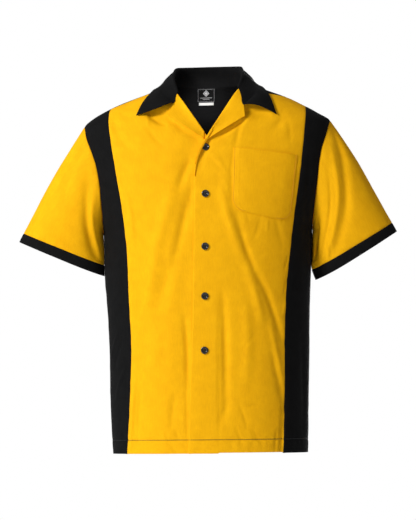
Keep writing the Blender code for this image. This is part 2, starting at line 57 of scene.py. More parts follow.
Section = namedtuple("Section", "height centre half_width front back lean front_rise")
TORSO = (
    Section(-765, 5.8, 202.6, 135, 126, 0.008, 9),
    Section(-716, 4.5, 204.5, 133, 124, 0.010, 8),
    Section(-650, 3.0, 206.0, 131, 120, 0.012, 5),
    Section(-570, 3.0, 207.5, 129, 117, 0.015, 2),
    Section(-480, 1.5, 210.0, 127, 115, 0.019, 0),
    Section(-390, 0.0, 214.5, 127, 117, 0.023, 0),
    Section(-305, 0.0, 217.0, 126, 120, 0.026, 0),
    Section(-270, 0.0, 228.0, 124, 122, 0.026, 0),
    Section(-221, 0.0, 245.0, 119, 123, 0.026, 0),
    Section(-160, -1.0, 256.0, 108, 120, 0.026, 0),
    Section(-130, -2.0, 259.5, 101, 117, 0.026, 0),
    Section(-105, -2.5, 260.0, 95, 113, 0.026, 0),
    Section(-81, -1.5, 255.5, 88, 108, 0.026, 0),
    Section(-62, -4.0, 229.5, 82, 103, 0.026, 0),
    Section(-47, -4.0, 202.0, 77, 99, 0.026, 0),
    Section(-27.5, 0.5, 156.5, 69, 92, 0.026, 0),
    Section(-15, 1.0, 121.5, 63, 86, 0.026, 0),
    Section(-6, 0.0, 100.0, 58, 80, 0.026, 0),
    Section(0, 0.0, 80.0, 55, 75, 0.026, 0),
)
HEM, SHOULDER_TIP, UNDERARM = -765, -81, -305

# How far the seams lie from the middle, on the wearer's right (-X) and left (+X).
Seam = namedtuple("Seam", "height right left")
PRINCESS = (
    Seam(-765, 166, 154), Seam(-650, 160, 157), Seam(-550, 157, 157), Seam(-440, 162.5, 160),
    Seam(-355, 165.5, 167.5), Seam(-265, 175, 178), Seam(-180, 189, 190), Seam(-102, 202, 198),
    Seam(-70, 205, 201), Seam(-56, 204.5, 202), Seam(-49.5, 203, 202.5), Seam(-45, 200, 202.5),
)
ARMHOLE = (
    Seam(-305, 217, 217), Seam(-281, 218, 218), Seam(-214, 222.5, 224.5), Seam(-165, 230.5, 230),
    Seam(-146, 236.5, 233), Seam(-112, 249.5, 244), Seam(-97, 254, 248.5), Seam(-81, 257, 254),
)
# How many degrees in front of the ring's end the shoulder seam runs.
SHOULDER = (
    Seam(-49.5, 6, 3), Seam(-45, 9, 2), Seam(-40, 13, 2), Seam(-33, 14, 3), Seam(-29, 14, 11),
    Seam(-25, 14, 28), Seam(-21, 14, 37), Seam(-15, 14, 39), Seam(0, 14, 34),
)
# The free edges of the two fronts: the left one lies on top of the right one.
Edge = namedtuple("Edge", "height right left")
FRONT_EDGE = (
    Edge(-765, 10, -39.5), Edge(-629, 11, -36), Edge(-515, 11.5, -32), Edge(-430, 12, -30.4),
    Edge(-315, 12, -29), Edge(-217, 12.5, -28.4), Edge(-182, 13, -27), Edge(-158, 14, -24),
    Edge(-135, 13, -15.5), Edge(-117, 4, -5.3), Edge(-106, -4.5, 1), Edge(-60, -36.5, 31.2),
    Edge(-15.6, -67.5, 61.5), Edge(0, -80, 80),
)
SIDE_PANEL_TOP = {LEFT: (-56, -49.5), RIGHT: (-49.5, -45)}   # over which its top runs to a point
POINTED_TOP = math.radians(1)
TORSO_ROWS = np.unique(np.round(np.concatenate((
    np.linspace(HEM, -56, 200), np.linspace(-56, -49.5, 5), np.linspace(-49.5, -45, 4),
    np.linspace(-45, 0, 15))), 3))

# Soft folds: a line through three points (x, z), how wide it is to either side, and how far the
# cloth stands out along it, or in where that is negative.
Fold = namedtuple("Fold", "x1 z1 x2 z2 x3 z3 width rise")
BACK_FOLDS = (
    Fold(-118, -120, -146, -260, -128, -410, 15, -4.6), Fold(122, -115, 148, -245, 126, -430, 14, -4.3),
    Fold(-84, -150, -92, -300, -70, -470, 17, 3.2), Fold(88, -160, 96, -290, 84, -420, 16, 3.0),
    Fold(-40, -260, -34, -420, -52, -600, 16, -3.0), Fold(46, -300, 60, -450, 44, -640, 17, -3.2),
    Fold(4, -330, 10, -500, -6, -700, 18, 2.6), Fold(-150, -440, -134, -590, -112, -738, 12, -4.1),
    Fold(160, -430, 138, -580, 122, -742, 11, -3.8), Fold(-178, -500, -168, -620, -160, -745, 9, 2.4),
    Fold(96, -520, 88, -640, 90, -745, 10, 2.4), Fold(-212, -178, -184, -240, -134, -296, 9, -3.0),
    Fold(214, -170, 184, -236, 136, -288, 9, -3.0), Fold(-205, -215, -170, -268, -118, -312, 8, 1.8),
    Fold(206, -206, 172, -262, 122, -300, 8, 1.6), Fold(-196, -322, -152, -352, -92, -362, 8, -1.8),
    Fold(190, -330, 150, -352, 104, -352, 7, -1.6), Fold(-60, -60, -76, -84, -104, -100, 8, -1.4),
    Fold(64, -58, 78, -80, 100, -98, 8, -1.4), Fold(-20, -706, -14, -724, -12, -740, 3.5, -1.1),
    Fold(34, -708, 40, -722, 46, -736, 3.0, -0.9), Fold(-78, -704, -84, -720, -92, -738, 3.0, -1.1),
    Fold(140, -700, 146, -722, 158, -738, 3.5, -1.2), Fold(-130, -706, -124, -722, -120, -738, 3.0, 0.8),
)


def column(table, name):
    return np.array([getattr(row, name) for row in table], dtype=float)


def cubic(t, start, end, leaving, arriving):
    """The curve between two values that leaves the one and reaches the other with these slopes."""
    return (start * (1 + 2 * t) * (1 - t) ** 2 + leaving * t * (1 - t) ** 2
            + end * t * t * (3 - 2 * t) + arriving * t * t * (t - 1))


def through(table, name, heights):
    """Values of one column at any heights, on a smooth curve that never overshoots its rows."""
    at, values = column(table, table[0]._fields[0]), column(table, name)
    slopes = np.diff(values) / np.diff(at)
    tangents = np.concatenate(([slopes[0]], np.zeros(len(at) - 2), [slopes[-1]]))
    together = slopes[:-1] * slopes[1:] > 0
    mean = 2 * slopes[:-1] * slopes[1:] / np.where(together, slopes[:-1] + slopes[1:], 1)
    tangents[1:-1] = np.where(together, mean, 0)
    heights = np.clip(np.asarray(heights, dtype=float), at[0], at[-1])
    k = np.clip(np.searchsorted(at, heights, side="right") - 1, 0, len(at) - 2)
    width = at[k + 1] - at[k]
    return cubic((heights - at[k]) / width, values[k], values[k + 1],
                 tangents[k] * width, tangents[k + 1] * width)


def ring(angle, height):
    """Torso point at an angle from the middle of the front (0) over the wearer's left (90 degrees)."""
    angle, height = np.broadcast_arrays(np.asarray(angle, float), np.asarray(height, float))
    sine, cosine = np.sin(angle), np.cos(angle)
    power = 2 / SQUARENESS
    depth = np.where(cosine > 0, through(TORSO, "front", height), through(TORSO, "back", height))
    forward = np.sign(cosine) * np.abs(cosine) ** power
    x = (through(TORSO, "centre", height)
         + through(TORSO, "half_width", height) * np.sign(sine) * np.abs(sine) ** power)
    z = (height + x * through(TORSO, "lean", height)
         + through(TORSO, "front_rise", height) * np.maximum(forward, 0))
    return np.stack((x, -depth * forward, z), axis=-1)


def unit(vectors):
    return vectors / np.maximum(np.linalg.norm(vectors, axis=-1, keepdims=True), 1e-9)


def ring_normal(angle, height):
    """Outward direction of the torso's surface at the same angle and height."""
    turn, rise = 0.01, 1.0
    across = ring(angle + turn, height) - ring(angle - turn, height)
    up = ring(angle, np.minimum(height + rise, 0)) - ring(angle, np.minimum(height + rise, 0) - 2 * rise)
    return unit(np.cross(across, up))


def angle_at(x, height):
    """Angle of the front's point at a distance x from the middle, 90 degrees past the ring's end."""
    offset = x - through(TORSO, "centre", height)
    share = np.clip(np.abs(offset) / through(TORSO, "half_width", height), 0, 1)
    return np.sign(offset) * np.arcsin(share ** (SQUARENESS / 2))


def side_name(side):
    return "left" if side == LEFT else "right"


def shoulder_angle(side, height):
    return side * (QUARTER - np.radians(through(SHOULDER, side_name(side), height)))


def front_side_angle(side, height):
    """Where a front ends: at its princess seam, and above that at the shoulder seam."""
    princess = angle_at(side * through(PRINCESS, side_name(side), height), height)
    return side * np.minimum(side * princess, side * shoulder_angle(side, height))


def armhole_angle(side, height):
    inside = (np.asarray(height) > UNDERARM) & (np.asarray(height) < SHOULDER_TIP)
    x = side * through(ARMHOLE, side_name(side), height)
    return np.where(inside, angle_at(x, height), side * QUARTER)


def front_edge_angle(side, height):
    return angle_at(through(FRONT_EDGE, side_name(side), height), height)


def side_panel_angle(side, height):
    """Where a side panel ends: at the side seam, the armhole, and then its own slanting top."""
    low, top = SIDE_PANEL_TOP[side]
    share = np.clip((height - low) / (top - low), 0, 1)
    point = front_side_angle(side, height) + side * POINTED_TOP
    return armhole_angle(side, height) * (1 - share) + point * share


ARC_HEIGHTS = np.linspace(HEM, 0, 64)
ARC_TURNS = np.linspace(0, math.pi, 181)
ARC_STEPS = np.linalg.norm(np.diff(ring(ARC_TURNS[None, :], ARC_HEIGHTS[:, None]), axis=1), axis=-1)
ARC_LENGTHS = np.concatenate((np.zeros((len(ARC_HEIGHTS), 1)), np.cumsum(ARC_STEPS, axis=1)), axis=1)


def arc(angle, height):
    """Distance round the torso from the middle of the front, negative on the wearer's right."""
    angle, height = np.broadcast_arrays(np.asarray(angle, float), np.asarray(height, float))
    past_back = np.abs(angle) > math.pi
    turn = np.where(past_back, 2 * math.pi - np.abs(angle), np.abs(angle))
    row = np.interp(height, ARC_HEIGHTS, np.arange(len(ARC_HEIGHTS)))
    place = turn / math.pi * (len(ARC_TURNS) - 1)
    r = np.clip(row.astype(int), 0, len(ARC_HEIGHTS) - 2)
    c = np.clip(place.astype(int), 0, len(ARC_TURNS) - 2)
    u, v = row - r, place - c
    lower = ARC_LENGTHS[r, c] * (1 - v) + ARC_LENGTHS[r, c + 1] * v
    upper = ARC_LENGTHS[r + 1, c] * (1 - v) + ARC_LENGTHS[r + 1, c + 1] * v
    length = lower * (1 - u) + upper * u
    half = np.interp(height, ARC_HEIGHTS, ARC_LENGTHS[:, -1])
    return np.sign(angle) * np.where(past_back, 2 * half - length, length)


def fold_line(fold, count=15):
    """Points along a fold, on the curve through its three."""
    t = np.linspace(0, 1, count)
    first, middle, last = (1 - t) * (1 - 2 * t), 4 * t * (1 - t), t * (2 * t - 1)
    return (fold[0] * first + fold[2] * middle + fold[4] * last,
            fold[1] * first + fold[3] * middle + fold[5] * last)


def laid(table, lines, u, v):
    """How far a table's folds, each along its own line of (u, v) points, lift the cloth at (u, v)."""
    total = np.zeros(u.shape)
    for fold, (line_u, line_v) in zip(table, lines):
        reach = 3 * fold.width
        near = ((u > line_u.min() - reach) & (u < line_u.max() + reach)
                & (v > line_v.min() - reach) & (v < line_v.max() + reach))
        if not near.any():
            continue
        point_u, point_v = u[near][:, None], v[near][:, None]
        step_u, step_v = np.diff(line_u), np.diff(line_v)
        along = (point_u - line_u[:-1]) * step_u + (point_v - line_v[:-1]) * step_v
        share = np.clip(along / (step_u ** 2 + step_v ** 2), 0, 1)
        gap = np.hypot(point_u - line_u[:-1] - share * step_u, point_v - line_v[:-1] - share * step_v)
        nearest = gap.argmin(axis=1)
        rows = np.arange(len(nearest))
        place = (nearest + share[rows, nearest]) / len(step_u)
        across = hill(gap[rows, nearest], fold.width)
        total[near] += fold.rise * across * np.sin(math.pi * place) ** 0.7
    return total


def torso_folds(table, angle, height, z, behind=False):
    """Height of the folds in a table at points of the torso."""
    lines = []
    for fold in table:
        x, line_z = fold_line(fold)
        turn = angle_at(x, line_z)
        lines.append((arc(math.pi - turn if behind else turn, line_z), line_z))
    return laid(table, lines, arc(angle, height), z)


def hill(distance, width):
    """1 in the middle, falling off smoothly to nothing at two or three widths from it."""
    return np.exp(-(distance / width) ** 2)


def unevenness(points):
    """The slight swell of cloth that nothing stretches, in millimetres."""
    x, y, z = points[..., 0], points[..., 1], points[..., 2]
    return (0.55 * np.sin((x + y) / 31 + z / 97 + 1.3) * np.sin(z / 163 - (x - y) / 120 + 0.4)
            + 0.32 * np.sin((x - 0.7 * y) / 17 - z / 61 + 2.1) * np.sin(z / 88 + y / 60 + 0.9)
            + 0.14 * np.sin((x + y) / 9.5 + z / 37) * np.sin(z / 29 - (x - y) / 43 + 2.6))


def seam_pucker(distance, along, phase):
    """The seam's own groove, and the small puckers that its thread draws up beside it."""
    ripple = np.sin(along / 5.3 + phase) * np.sin(along / 23 + 2 * phase)
    ripple += 0.6 * np.sin(along / 9.1 + phase)
    return -0.55 * hill(distance, 2.0) + 0.34 * ripple * hill(distance, 8)


def as_last(grid, edge):
    """A grid turned so that the named edge is its last column."""
    return {"start": grid[:, ::-1], "end": grid, "top": grid.swapaxes(0, 1),
            "bottom": grid[::-1].swapaxes(0, 1)}[edge]


def as_before(grid, edge):
    return {"start": grid[:, ::-1], "end": grid, "top": grid.swapaxes(0, 1),
            "bottom": grid.swapaxes(0, 1)[::-1]}[edge]


def turned_under(points, outward, flat, edge, radius, run):
    """Turns one edge of a cloth under: a small round edge, then so many columns back behind it."""
    points, outward, flat = (as_last(grid, edge).copy() for grid in (points, outward, flat))
    off = unit(points[:, -1] - points[:, -2])
    out = outward[:, -1]
    points[:, -1] -= off * radius
    middle = points[:, -1] - out * radius
    flat_off = unit(flat[:, -1] - flat[:, -2])
    new_points, new_outward, new_flat = [points], [outward], [flat]
    for turn in np.radians((45, 90, 135, 180)):
        new_points.append((middle + radius * (math.sin(turn) * off + math.cos(turn) * out))[:, None])
        new_outward.append(out[:, None])
        new_flat.append((flat[:, -1] + flat_off * radius * turn)[:, None])
    flat_end = new_flat[-1][:, -1]
    for step in range(2, run + 2):
        new_points.append((points[:, -step] - outward[:, -step] * 2 * radius)[:, None])
        new_outward.append(outward[:, -step][:, None])
        length = np.linalg.norm(points[:, -1] - points[:, -step], axis=-1, keepdims=True)
        new_flat.append((flat_end + flat_off * length)[:, None])
    return tuple(as_before(np.concatenate(parts, axis=1), edge)
                 for parts in (new_points, new_outward, new_flat))


def flat_plan(points):
    """Where each point of a grid of cloth lies in the flat: the lengths of its rows and columns."""
    across = np.linalg.norm(np.diff(points, axis=1), axis=-1)
    up = np.linalg.norm(np.diff(points, axis=0), axis=-1).mean(axis=1)
    across = np.concatenate((np.zeros((len(points), 1)), np.cumsum(across, axis=1)), axis=1)
    across -= across[:, across.shape[1] // 2][:, None]
    rise = np.concatenate(([0], np.cumsum(up)))
    return np.stack((across, np.broadcast_to(rise[:, None], across.shape)), axis=-1)


def as_mesh(bm, name):
    """Ends a bmesh and returns what it held as a mesh."""
    mesh = bpy.data.meshes.new(name)
    bm.to_mesh(mesh)
    bm.free()
    return mesh


def placed(data, name):
    """A new object in the scene."""
    made = bpy.data.objects.new(name, data)
    bpy.context.scene.collection.objects.link(made)
    return made


def cloth(name, points, flat, finish, thickness, tube=False, offset=-1.0):
    """A piece of cloth through a grid of points, with its flat plan as its UV map."""
    rows, columns = points.shape[:2]
    bm = bmesh.new()
    bmesh.ops.create_grid(bm, x_segments=columns - 1, y_segments=rows - 1, size=1)
    mesh = as_mesh(bm, name)
    mesh.vertices.foreach_set("co", (points.reshape(-1) * MM).astype(np.float32))
    corner = np.zeros(len(mesh.loops), dtype=np.int32)
    mesh.loops.foreach_get("vertex_index", corner)
    plan = mesh.uv_layers.get("UVMap") or mesh.uv_layers.new(name="UVMap")
    plan.data.foreach_set("uv", (flat.reshape(-1, 2)[corner] * MM).astype(np.float32).ravel())
    if tube:
        bm = bmesh.new()
        bm.from_mesh(mesh)
        bmesh.ops.remove_doubles(bm, verts=bm.verts[:], dist=0.00002)
        bm.to_mesh(mesh)
        bm.free()
    mesh.materials.append(finish)
    mesh.shade_smooth()
    piece = placed(mesh, name)
    wall = piece.modifiers.new("thickness", "SOLIDIFY")
    wall.thickness = thickness * MM
    wall.offset = offset
    wall.use_even_offset = False
    return piece


def on_shirt(piece, slot, *nodes):
    """The piece goes with the shirt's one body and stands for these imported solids."""
    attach(piece, "root")
    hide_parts(*nodes)


def fill(node, inputs):
    """Gives each input of a shader node its value, or joins it to the output that is given for it."""
    for key, value in inputs.items():
        if isinstance(value, bpy.types.NodeSocket):
            node.id_data.links.new(value, node.inputs[key])
        else:
            node.inputs[key].default_value = value


def node(finish, kind, output, inputs, **settings):
    """Adds a shader node to a material and returns its named output."""
    made = finish.node_tree.nodes.new("ShaderNode" + kind)
    for key, value in settings.items():
        setattr(made, key, value)
    fill(made, inputs)
    return made.outputs[output]


def shade(finish, inputs):
    fill(finish.node_tree.nodes["Principled BSDF"], inputs)


def new_finish(name, colour=(0.8, 0.8, 0.8), **inputs):
    """A material, with values for some of its shader's inputs."""
    finish = bpy.data.materials.new(name)
    finish.use_nodes = True
    finish.diffuse_color = (*colour, 1)
    shade(finish, {key.replace("_", " "): value for key, value in inputs.items()})
    return finish


def blend(finish, factor, first, second):
    """The colour between two, by a factor."""
    return node(finish, "Mix", "Result", {"A": (*first, 1), "B": (*second, 1), "Factor": factor},
                data_type="RGBA")


def poplin(name, colour, shadow, sheen, specular):
    """Plain-woven shirting: fine warp and weft, a little slub, and faint rumples from handling whose
    hollows are painted darker as shade.
    """
    finish = new_finish(name, colour, Roughness=0.82, Sheen_Weight=sheen, Sheen_Roughness=0.45,
                        Specular_IOR_Level=specular)
    plan = node(finish, "UVMap", "UV", {}, uv_map="UVMap")
    threads = [node(finish, "TexWave", "Fac",
                    {"Vector": plan, "Scale": WEAVE_SCALE, "Distortion": 0.6, "Detail": 1.0},
                    bands_direction=direction) for direction in "XY"]
    over_under = node(finish, "Math", "Value", dict(enumerate(threads)), operation="SUBTRACT")
    raised = node(finish, "Math", "Value", {0: over_under}, operation="ABSOLUTE")
    weave = node(finish, "Bump", "Normal", {"Strength": 0.35, "Distance": 0.00012, "Height": raised})
    stretched = node(finish, "Mapping", "Vector", {"Vector": plan, "Scale": (420, 60, 1)})
    slub = node(finish, "TexNoise", "Fac",
                {"Vector": stretched, "Scale": 1.0, "Detail": 4.0, "Roughness": 0.65})
    rumple_and_painted_shade = node(finish, "TexNoise", "Fac",
                   {"Vector": plan, "Scale": 42.0, "Detail": 4.0, "Roughness": 0.6})
    rumple = node(finish, "Bump", "Normal",
                  {"Strength": 0.35, "Distance": 0.0016, "Height": rumple_and_painted_shade, "Normal": weave})
    # the slub's streaks are the yarn's own tone; where the handling rumples dip, the colour goes towards
    # the shadow colour, which is painted shade
    tone = node(finish, "Math", "Value", {0: slub, 1: rumple_and_painted_shade}, operation="ADD")
    spread = node(finish, "MapRange", "Result", {"Value": tone, "From Min": 0.7, "From Max": 1.3})
    shade(finish, {"Normal": rumple, "Base Color": blend(finish, spread, shadow, colour)})
    return finish


WEAVE_SCALE = 700.0                  # a thread about every 0.45 mm
CLOTH = 0.35                         # one layer of poplin
TURN, EDGE_TURN = 0.5, 0.8           # radius of a turned edge: at a seam, and down the front's opening
HEM_ROWS = 8

# the second colour is painted shade, laid into the hollows of the handling rumples
black_poplin = poplin("black_poplin", (0.0070, 0.0070, 0.0072), (0.0042, 0.0042, 0.0044), 0.012, 0.07)


def draw_in(points, edges):
    """Moves the named edges of a grid half a gap towards the next row or column."""
    for edge in edges:
        turned = as_last(points, edge)
        turned[:, -1] += unit(turned[:, -2] - turned[:, -1]) * GAP / 2


def torso_cloth(name, start, end, heights, columns, finish, extra, seams=("start", "end"), sink=None):
    """A torso piece between two edge angles, with its edges turned under and its hem turned up."""
    share = np.linspace(0, 1, columns)
    angles = start[:, None] * (1 - share) + end[:, None] * share
    levels = np.broadcast_to(heights[:, None], angles.shape)
    points, outward = ring(angles, levels), ring_normal(angles, levels)
    around = arc(angles, levels)
    rise = extra(angles, levels, points[..., 2]) + unevenness(points)
    for edge in seams:
        border = {"start": 0, "end": -1}[edge]
        distance = np.abs(around - around[:, border][:, None])
        rise += seam_pucker(distance, points[..., 2], 0.05 * points[60, border, 0])
    if sink is not None:
        rise -= sink(points[..., 0], levels)
    rise -= 0.8 * hill(levels - HEM - HEM_STITCH, 3)
    run = points[..., 0] + points[..., 1]
    hem_puckers = np.sin(run / 6.1) * np.sin(run / 17 + 1) + 0.5 * np.sin(run / 3.7 + 2)
    rise += 0.4 * hem_puckers * hill(levels - HEM - HEM_STITCH + 9, 13)
    points = points + outward * rise[..., None]
    draw_in(points, ("start", "end"))
    flat = flat_plan(points)
    for edge in ("start", "end"):
        radius = TURN if edge in seams else EDGE_TURN
        points, outward, flat = turned_under(points, outward, flat, edge, radius, 2)
    points, outward, flat = turned_under(points, outward, flat, "bottom", TURN, HEM_ROWS)
    return cloth(name, points, flat, finish, CLOTH)


HEM_STITCH = 28.5                    # height of the hem's row of stitches
BACK_COLUMNS = 150
rows = TORSO_ROWS
back_edges = []
for side in (LEFT, RIGHT):
    over_shoulder = np.maximum(side * shoulder_angle(side, rows), side * front_edge_angle(side, rows))
    over_shoulder = np.maximum(over_shoulder, side * front_side_angle(side, rows) + POINTED_TOP)
    below = math.pi - side * armhole_angle(side, rows)
    low, top = SIDE_PANEL_TOP[side]
    coming_over = np.where(rows > low, side * side_panel_angle(side, rows), below)
    back_edges.append(np.where(rows >= top, over_shoulder, coming_over))


def back_rise(angle, height, z):
    return torso_folds(BACK_FOLDS, angle, height, z, behind=True)


back = torso_cloth("back_cloth", back_edges[0], 2 * math.pi - back_edges[1], rows, BACK_COLUMNS,
                   black_poplin, back_rise)
on_shirt(back, "black_cloth", "back")

# ---------------------------------------------------------------- side panels
# A black panel down each side, from a point at the shoulder to the hem. Its long front edge is the
# princess seam and its back edge the side seam; between armhole and hem it is one flat strip.
SIDE_COLUMNS = 44
FRONT_FOLDS = (
    Fold(-33, -156, -50, -189, -62, -227, 7, -3.5), Fold(-31, -214, -50, -285, -71, -381, 9, -4.0),
    Fold(-67, -354, -87, -410, -104, -472, 14, -3.2), Fold(-71, -223, -100, -322, -129, -485, 13, 4.0),
    Fold(-166, -231, -156, -285, -152, -343, 6, 2.4), Fold(-191, -69, -181, -114, -144, -141, 8, -2.4),
    Fold(-123, -44, -122, -58, -121, -75, 3.5, -2.1), Fold(-123, -62, -106, -78, -83, -87, 5, -4.8),
    Fold(-77, -71, -67, -83, -50, -94, 4, -1.6), Fold(-116, -56, -100, -67, -81, -73, 4, 1.3),
    Fold(-125, -89, -110, -114, -87, -135, 6, -1.3), Fold(-148, -597, -154, -680, -160, -763, 4, 3.2),
    Fold(-137, -624, -141, -686, -146, -751, 5, -1.6), Fold(-181, -505, -193, -541, -202, -576, 5, 2.1),
    Fold(-173, -520, -185, -555, -193, -593, 5, -1.9), Fold(-168, -584, -181, -618, -189, -651, 5, 2.1),
    Fold(-67, -634, -73, -672, -77, -709, 7, -1.9), Fold(-100, -499, -108, -555, -116, -630, 14, 1.9),
    Fold(-87, -711, -83, -726, -79, -740, 3, -1.0), Fold(-67, -707, -62, -722, -58, -736, 3, -1.0),
    Fold(-75, -738, -67, -751, -56, -761, 3, -1.0), Fold(73, -71, 62, -102, 55, -139, 4, -2.1),
    Fold(54, -135, 48, -187, 51, -252, 4, -1.6), Fold(2, -141, 27, -173, 44, -231, 5, 1.9),
    Fold(8, -162, 29, -181, 44, -218, 3, -1.9), Fold(19, -189, 20, -206, 21, -223, 2.5, -0.8),
    Fold(27, -210, 44, -285, 73, -368, 9, 3.5), Fold(73, -368, 96, -431, 112, -499, 9, 3.2),
    Fold(58, -266, 79, -343, 112, -418, 6, -3.2), Fold(100, -389, 129, -456, 154, -541, 7, -3.8),
    Fold(129, -545, 144, -609, 158, -676, 8, -2.6), Fold(125, -485, 139, -551, 154, -622, 6, 2.1),
    Fold(28, -420, 35, -541, 34, -680, 8, -4.4), Fold(46, -645, 33, -676, 25, -701, 8, -1.9),
    Fold(73, -447, 81, -530, 75, -639, 11, 2.4), Fold(22, -447, 22, -593, 23, -755, 2.5, -1.4),
    Fold(108, -268, 103, -298, 88, -328, 5, -1.0), Fold(137, -272, 145, -306, 154, -342, 6, -1.0),
    Fold(81, -270, 81, -277, 83, -287, 2, -1.0), Fold(152, -277, 152, -283, 152, -291, 2, -1.0),
    Fold(121, -281, 121, -293, 119, -306, 3, 1.0), Fold(166, -352, 160, -368, 156, -385, 2.5, -1.6),
    Fold(164, -399, 158, -416, 156, -439, 2.5, -1.6), Fold(162, -445, 156, -462, 152, -478, 3, 1.1),
    Fold(156, -650, 150, -713, 148, -775, 5, -3.0), Fold(160, -697, 156, -730, 156, -763, 2, 1.9),
    Fold(141, -707, 137, -738, 137, -763, 3, -1.3), Fold(60, -651, 73, -680, 79, -705, 3, -1.4),
    Fold(52, -693, 62, -718, 67, -738, 2.5, -1.3), Fold(92, -707, 100, -724, 112, -740, 2.5, -1.3),
    Fold(81, -705, 87, -722, 92, -734, 2.5, 0.8), Fold(67, -549, 81, -532, 100, -512, 2.5, -1.0),
    Fold(79, -664, 92, -659, 108, -659, 3, -1.1), Fold(148, -58, 148, -81, 121, -100, 8, -1.9),
    Fold(160, -69, 168, -98, 166, -131, 6, -1.0), Fold(191, -510, 198, -614, 196, -718, 10, -2.4),
    Fold(210, -135, 204, -239, 198, -343, 8, -1.6), Fold(-124, -60, -123, -76, -121, -96, 3, 1.4),
)
# The fronts also sink a little under the collar's points and along the lapels' edges.
HOLLOWS = (
    Fold(-128, -52, -104, -66, -70, -74, 12, -8.0), Fold(70, -50, 94, -56, 130, -60, 15, -9.0),
    Fold(-86, -72, -50, -98, -12, -120, 7, -3.0), Fold(80, -74, 50, -95, 10, -118, 3.5, -6.0),
    Fold(4, -118, -8, -146, -19, -188, 4, -2.6),
)


def folded_front(angle, height, z):
    return torso_folds(FRONT_FOLDS, angle, height, z)


def front_rise(angle, height, z):
    return folded_front(angle, height, z) + torso_folds(HOLLOWS, angle, height, z)


for side in (LEFT, RIGHT):
    levels = TORSO_ROWS[TORSO_ROWS <= SIDE_PANEL_TOP[side][1]]
    edges = [front_side_angle(side, levels), side_panel_angle(side, levels)][::side]
    panel = torso_cloth(f"side_cloth_{side_name(side)}", *edges, levels, SIDE_COLUMNS, black_poplin,
                        front_rise)
    on_shirt(panel, "black_cloth", f"side_panel_{side_name(side)}")

# ---------------------------------------------------------------- fronts
# Two yellow fronts, open down the middle and faced along the edge. The wearer's left one laps over
# the right one; above the top button each edge rolls out into its lapel.
FRONT_COLUMNS = 66
GORGE = {LEFT: -15.6, RIGHT: -23.0}  # where they end at the collar
LAP = 2.5                            # how deep the under front lies beneath the top one
TUCK, TUCK_WIDTH = 52, 40            # it starts so far beside the top one's edge, and is whole in so much;
TUCK_TOP, TUCK_HEIGHT = -90, 20      # down the front it starts here, and is whole in so much
HEM_STEP = 2.2                       # how much higher the left front's hem hangs beyond its facing,
FACING_EDGE = 21                     # which ends this far from the middle;
STEP_TOP, STEP_FADE = -735, 30       # the step begins at this height and is whole so far below it
UNDER_FOLDS = (
    Fold(-50, -472, -42, -551, -43, -645, 6, -3.6), Fold(-44, -624, -43, -686, -42, -734, 4, -1.8),
    Fold(-34, -189, -35, -239, -36, -312, 3, -1.0),
)

# the second colour is painted shade, laid into the hollows of the handling rumples
yellow_poplin = poplin("yellow_poplin", (0.945, 0.478, 0.0020), (0.850, 0.400, 0.0008), 0.0, 0.12)


def smooth_step(value):
    value = np.clip(value, 0, 1)
    return value * value * (3 - 2 * value)


def under_front_dip(x, height):
    """How deep the right front lies beneath the left one's edge."""
    reach = x - through(FRONT_EDGE, "left", height) + TUCK
    return LAP * smooth_step(reach / TUCK_WIDTH) * smooth_step((TUCK_TOP - height) / TUCK_HEIGHT)


def under_front_rise(angle, height, z):
    return front_rise(angle, height, z) + torso_folds(UNDER_FOLDS, angle, height, z)


for side in (LEFT, RIGHT):
    name = side_name(side)
    inner_edge, outer_edge = front_edge_angle(side, TORSO_ROWS), front_side_angle(side, TORSO_ROWS)
    wide = side * (outer_edge - inner_edge) > math.radians(2)
    front = torso_cloth(f"front_cloth_{name}", *[inner_edge[wide], outer_edge[wide]][::side],
                        TORSO_ROWS[wide], FRONT_COLUMNS, yellow_poplin,
                        front_rise if side == LEFT else under_front_rise,
                        seams=("end",) if side == LEFT else ("start",),
                        sink=under_front_dip if side == RIGHT else None)
    if side == LEFT:
        for vertex in front.data.vertices:
            share = min(max((STEP_TOP - vertex.co.z / MM) / STEP_FADE, 0), 1)
            vertex.co.z += HEM_STEP * MM * share * (vertex.co.x > FACING_EDGE * MM)
    on_shirt(front, "yellow_cloth", f"front_{name}")

# ---------------------------------------------------------------- sleeves
# Short yellow sleeves, each one piece set into the armhole and closed by a seam under the arm. They
# stand out from the body with the arm's form, and sag in long folds from the shoulder to the elbow.
Sleeve = namedtuple("Sleeve", "side seam_outer seam_inner end_outer end_inner")
SLEEVES = (
    Sleeve(LEFT, (382.5, -286.5), (222.5, -384.5), (392.5, -304.5), (233.5, -405.5)),
    Sleeve(RIGHT, (-383, -309), (-219.5, -375.5), (-392, -327), (-222, -398)),
)
# Direction in which the sleeve leaves the armhole, by degrees round it from the shoulder tip.
Start = namedtuple("Start", "around out forward down")
STARTS = (Start(0, 0.53, 0.00, -0.85), Start(90, 0.70, 0.11, -0.70), Start(180, 0.06, 0.00, -1.00))
START_SPREAD = {LEFT: 1.18, RIGHT: 1.0}   # the left one leaves its shoulder a little flatter
HUNG_IN = {LEFT: 6.5, RIGHT: 5.0}    # how far its inner side hangs against the body,
HUNG_WIDTH, HUNG_SWELL = 0.8, 0.55   # over this many radians, and how much further halfway along
HUNG_FULL = 0.6                      # the share of its length at which it hangs so far
SLEEVE_CLEAR = 0.9                   # how far off the body its cloth's middle stays,
CLEAR_FROM, CLEAR_OVER = 0.04, 0.12  # from this share of its length on, and gradually over this one
ALLOWANCE_IN, ALLOWANCE_WIDTH = 1.6, 0.45   # how far its allowance goes in under the arm; in radians
SEAM_DEPTH, END_DEPTH = 47, 43       # half the sleeve's size in Y, at the cuff seam and at the open end
SLEEVE_SQUARENESS = 2.2
SLEEVE_COLUMNS, SLEEVE_ROWS = 150, 62

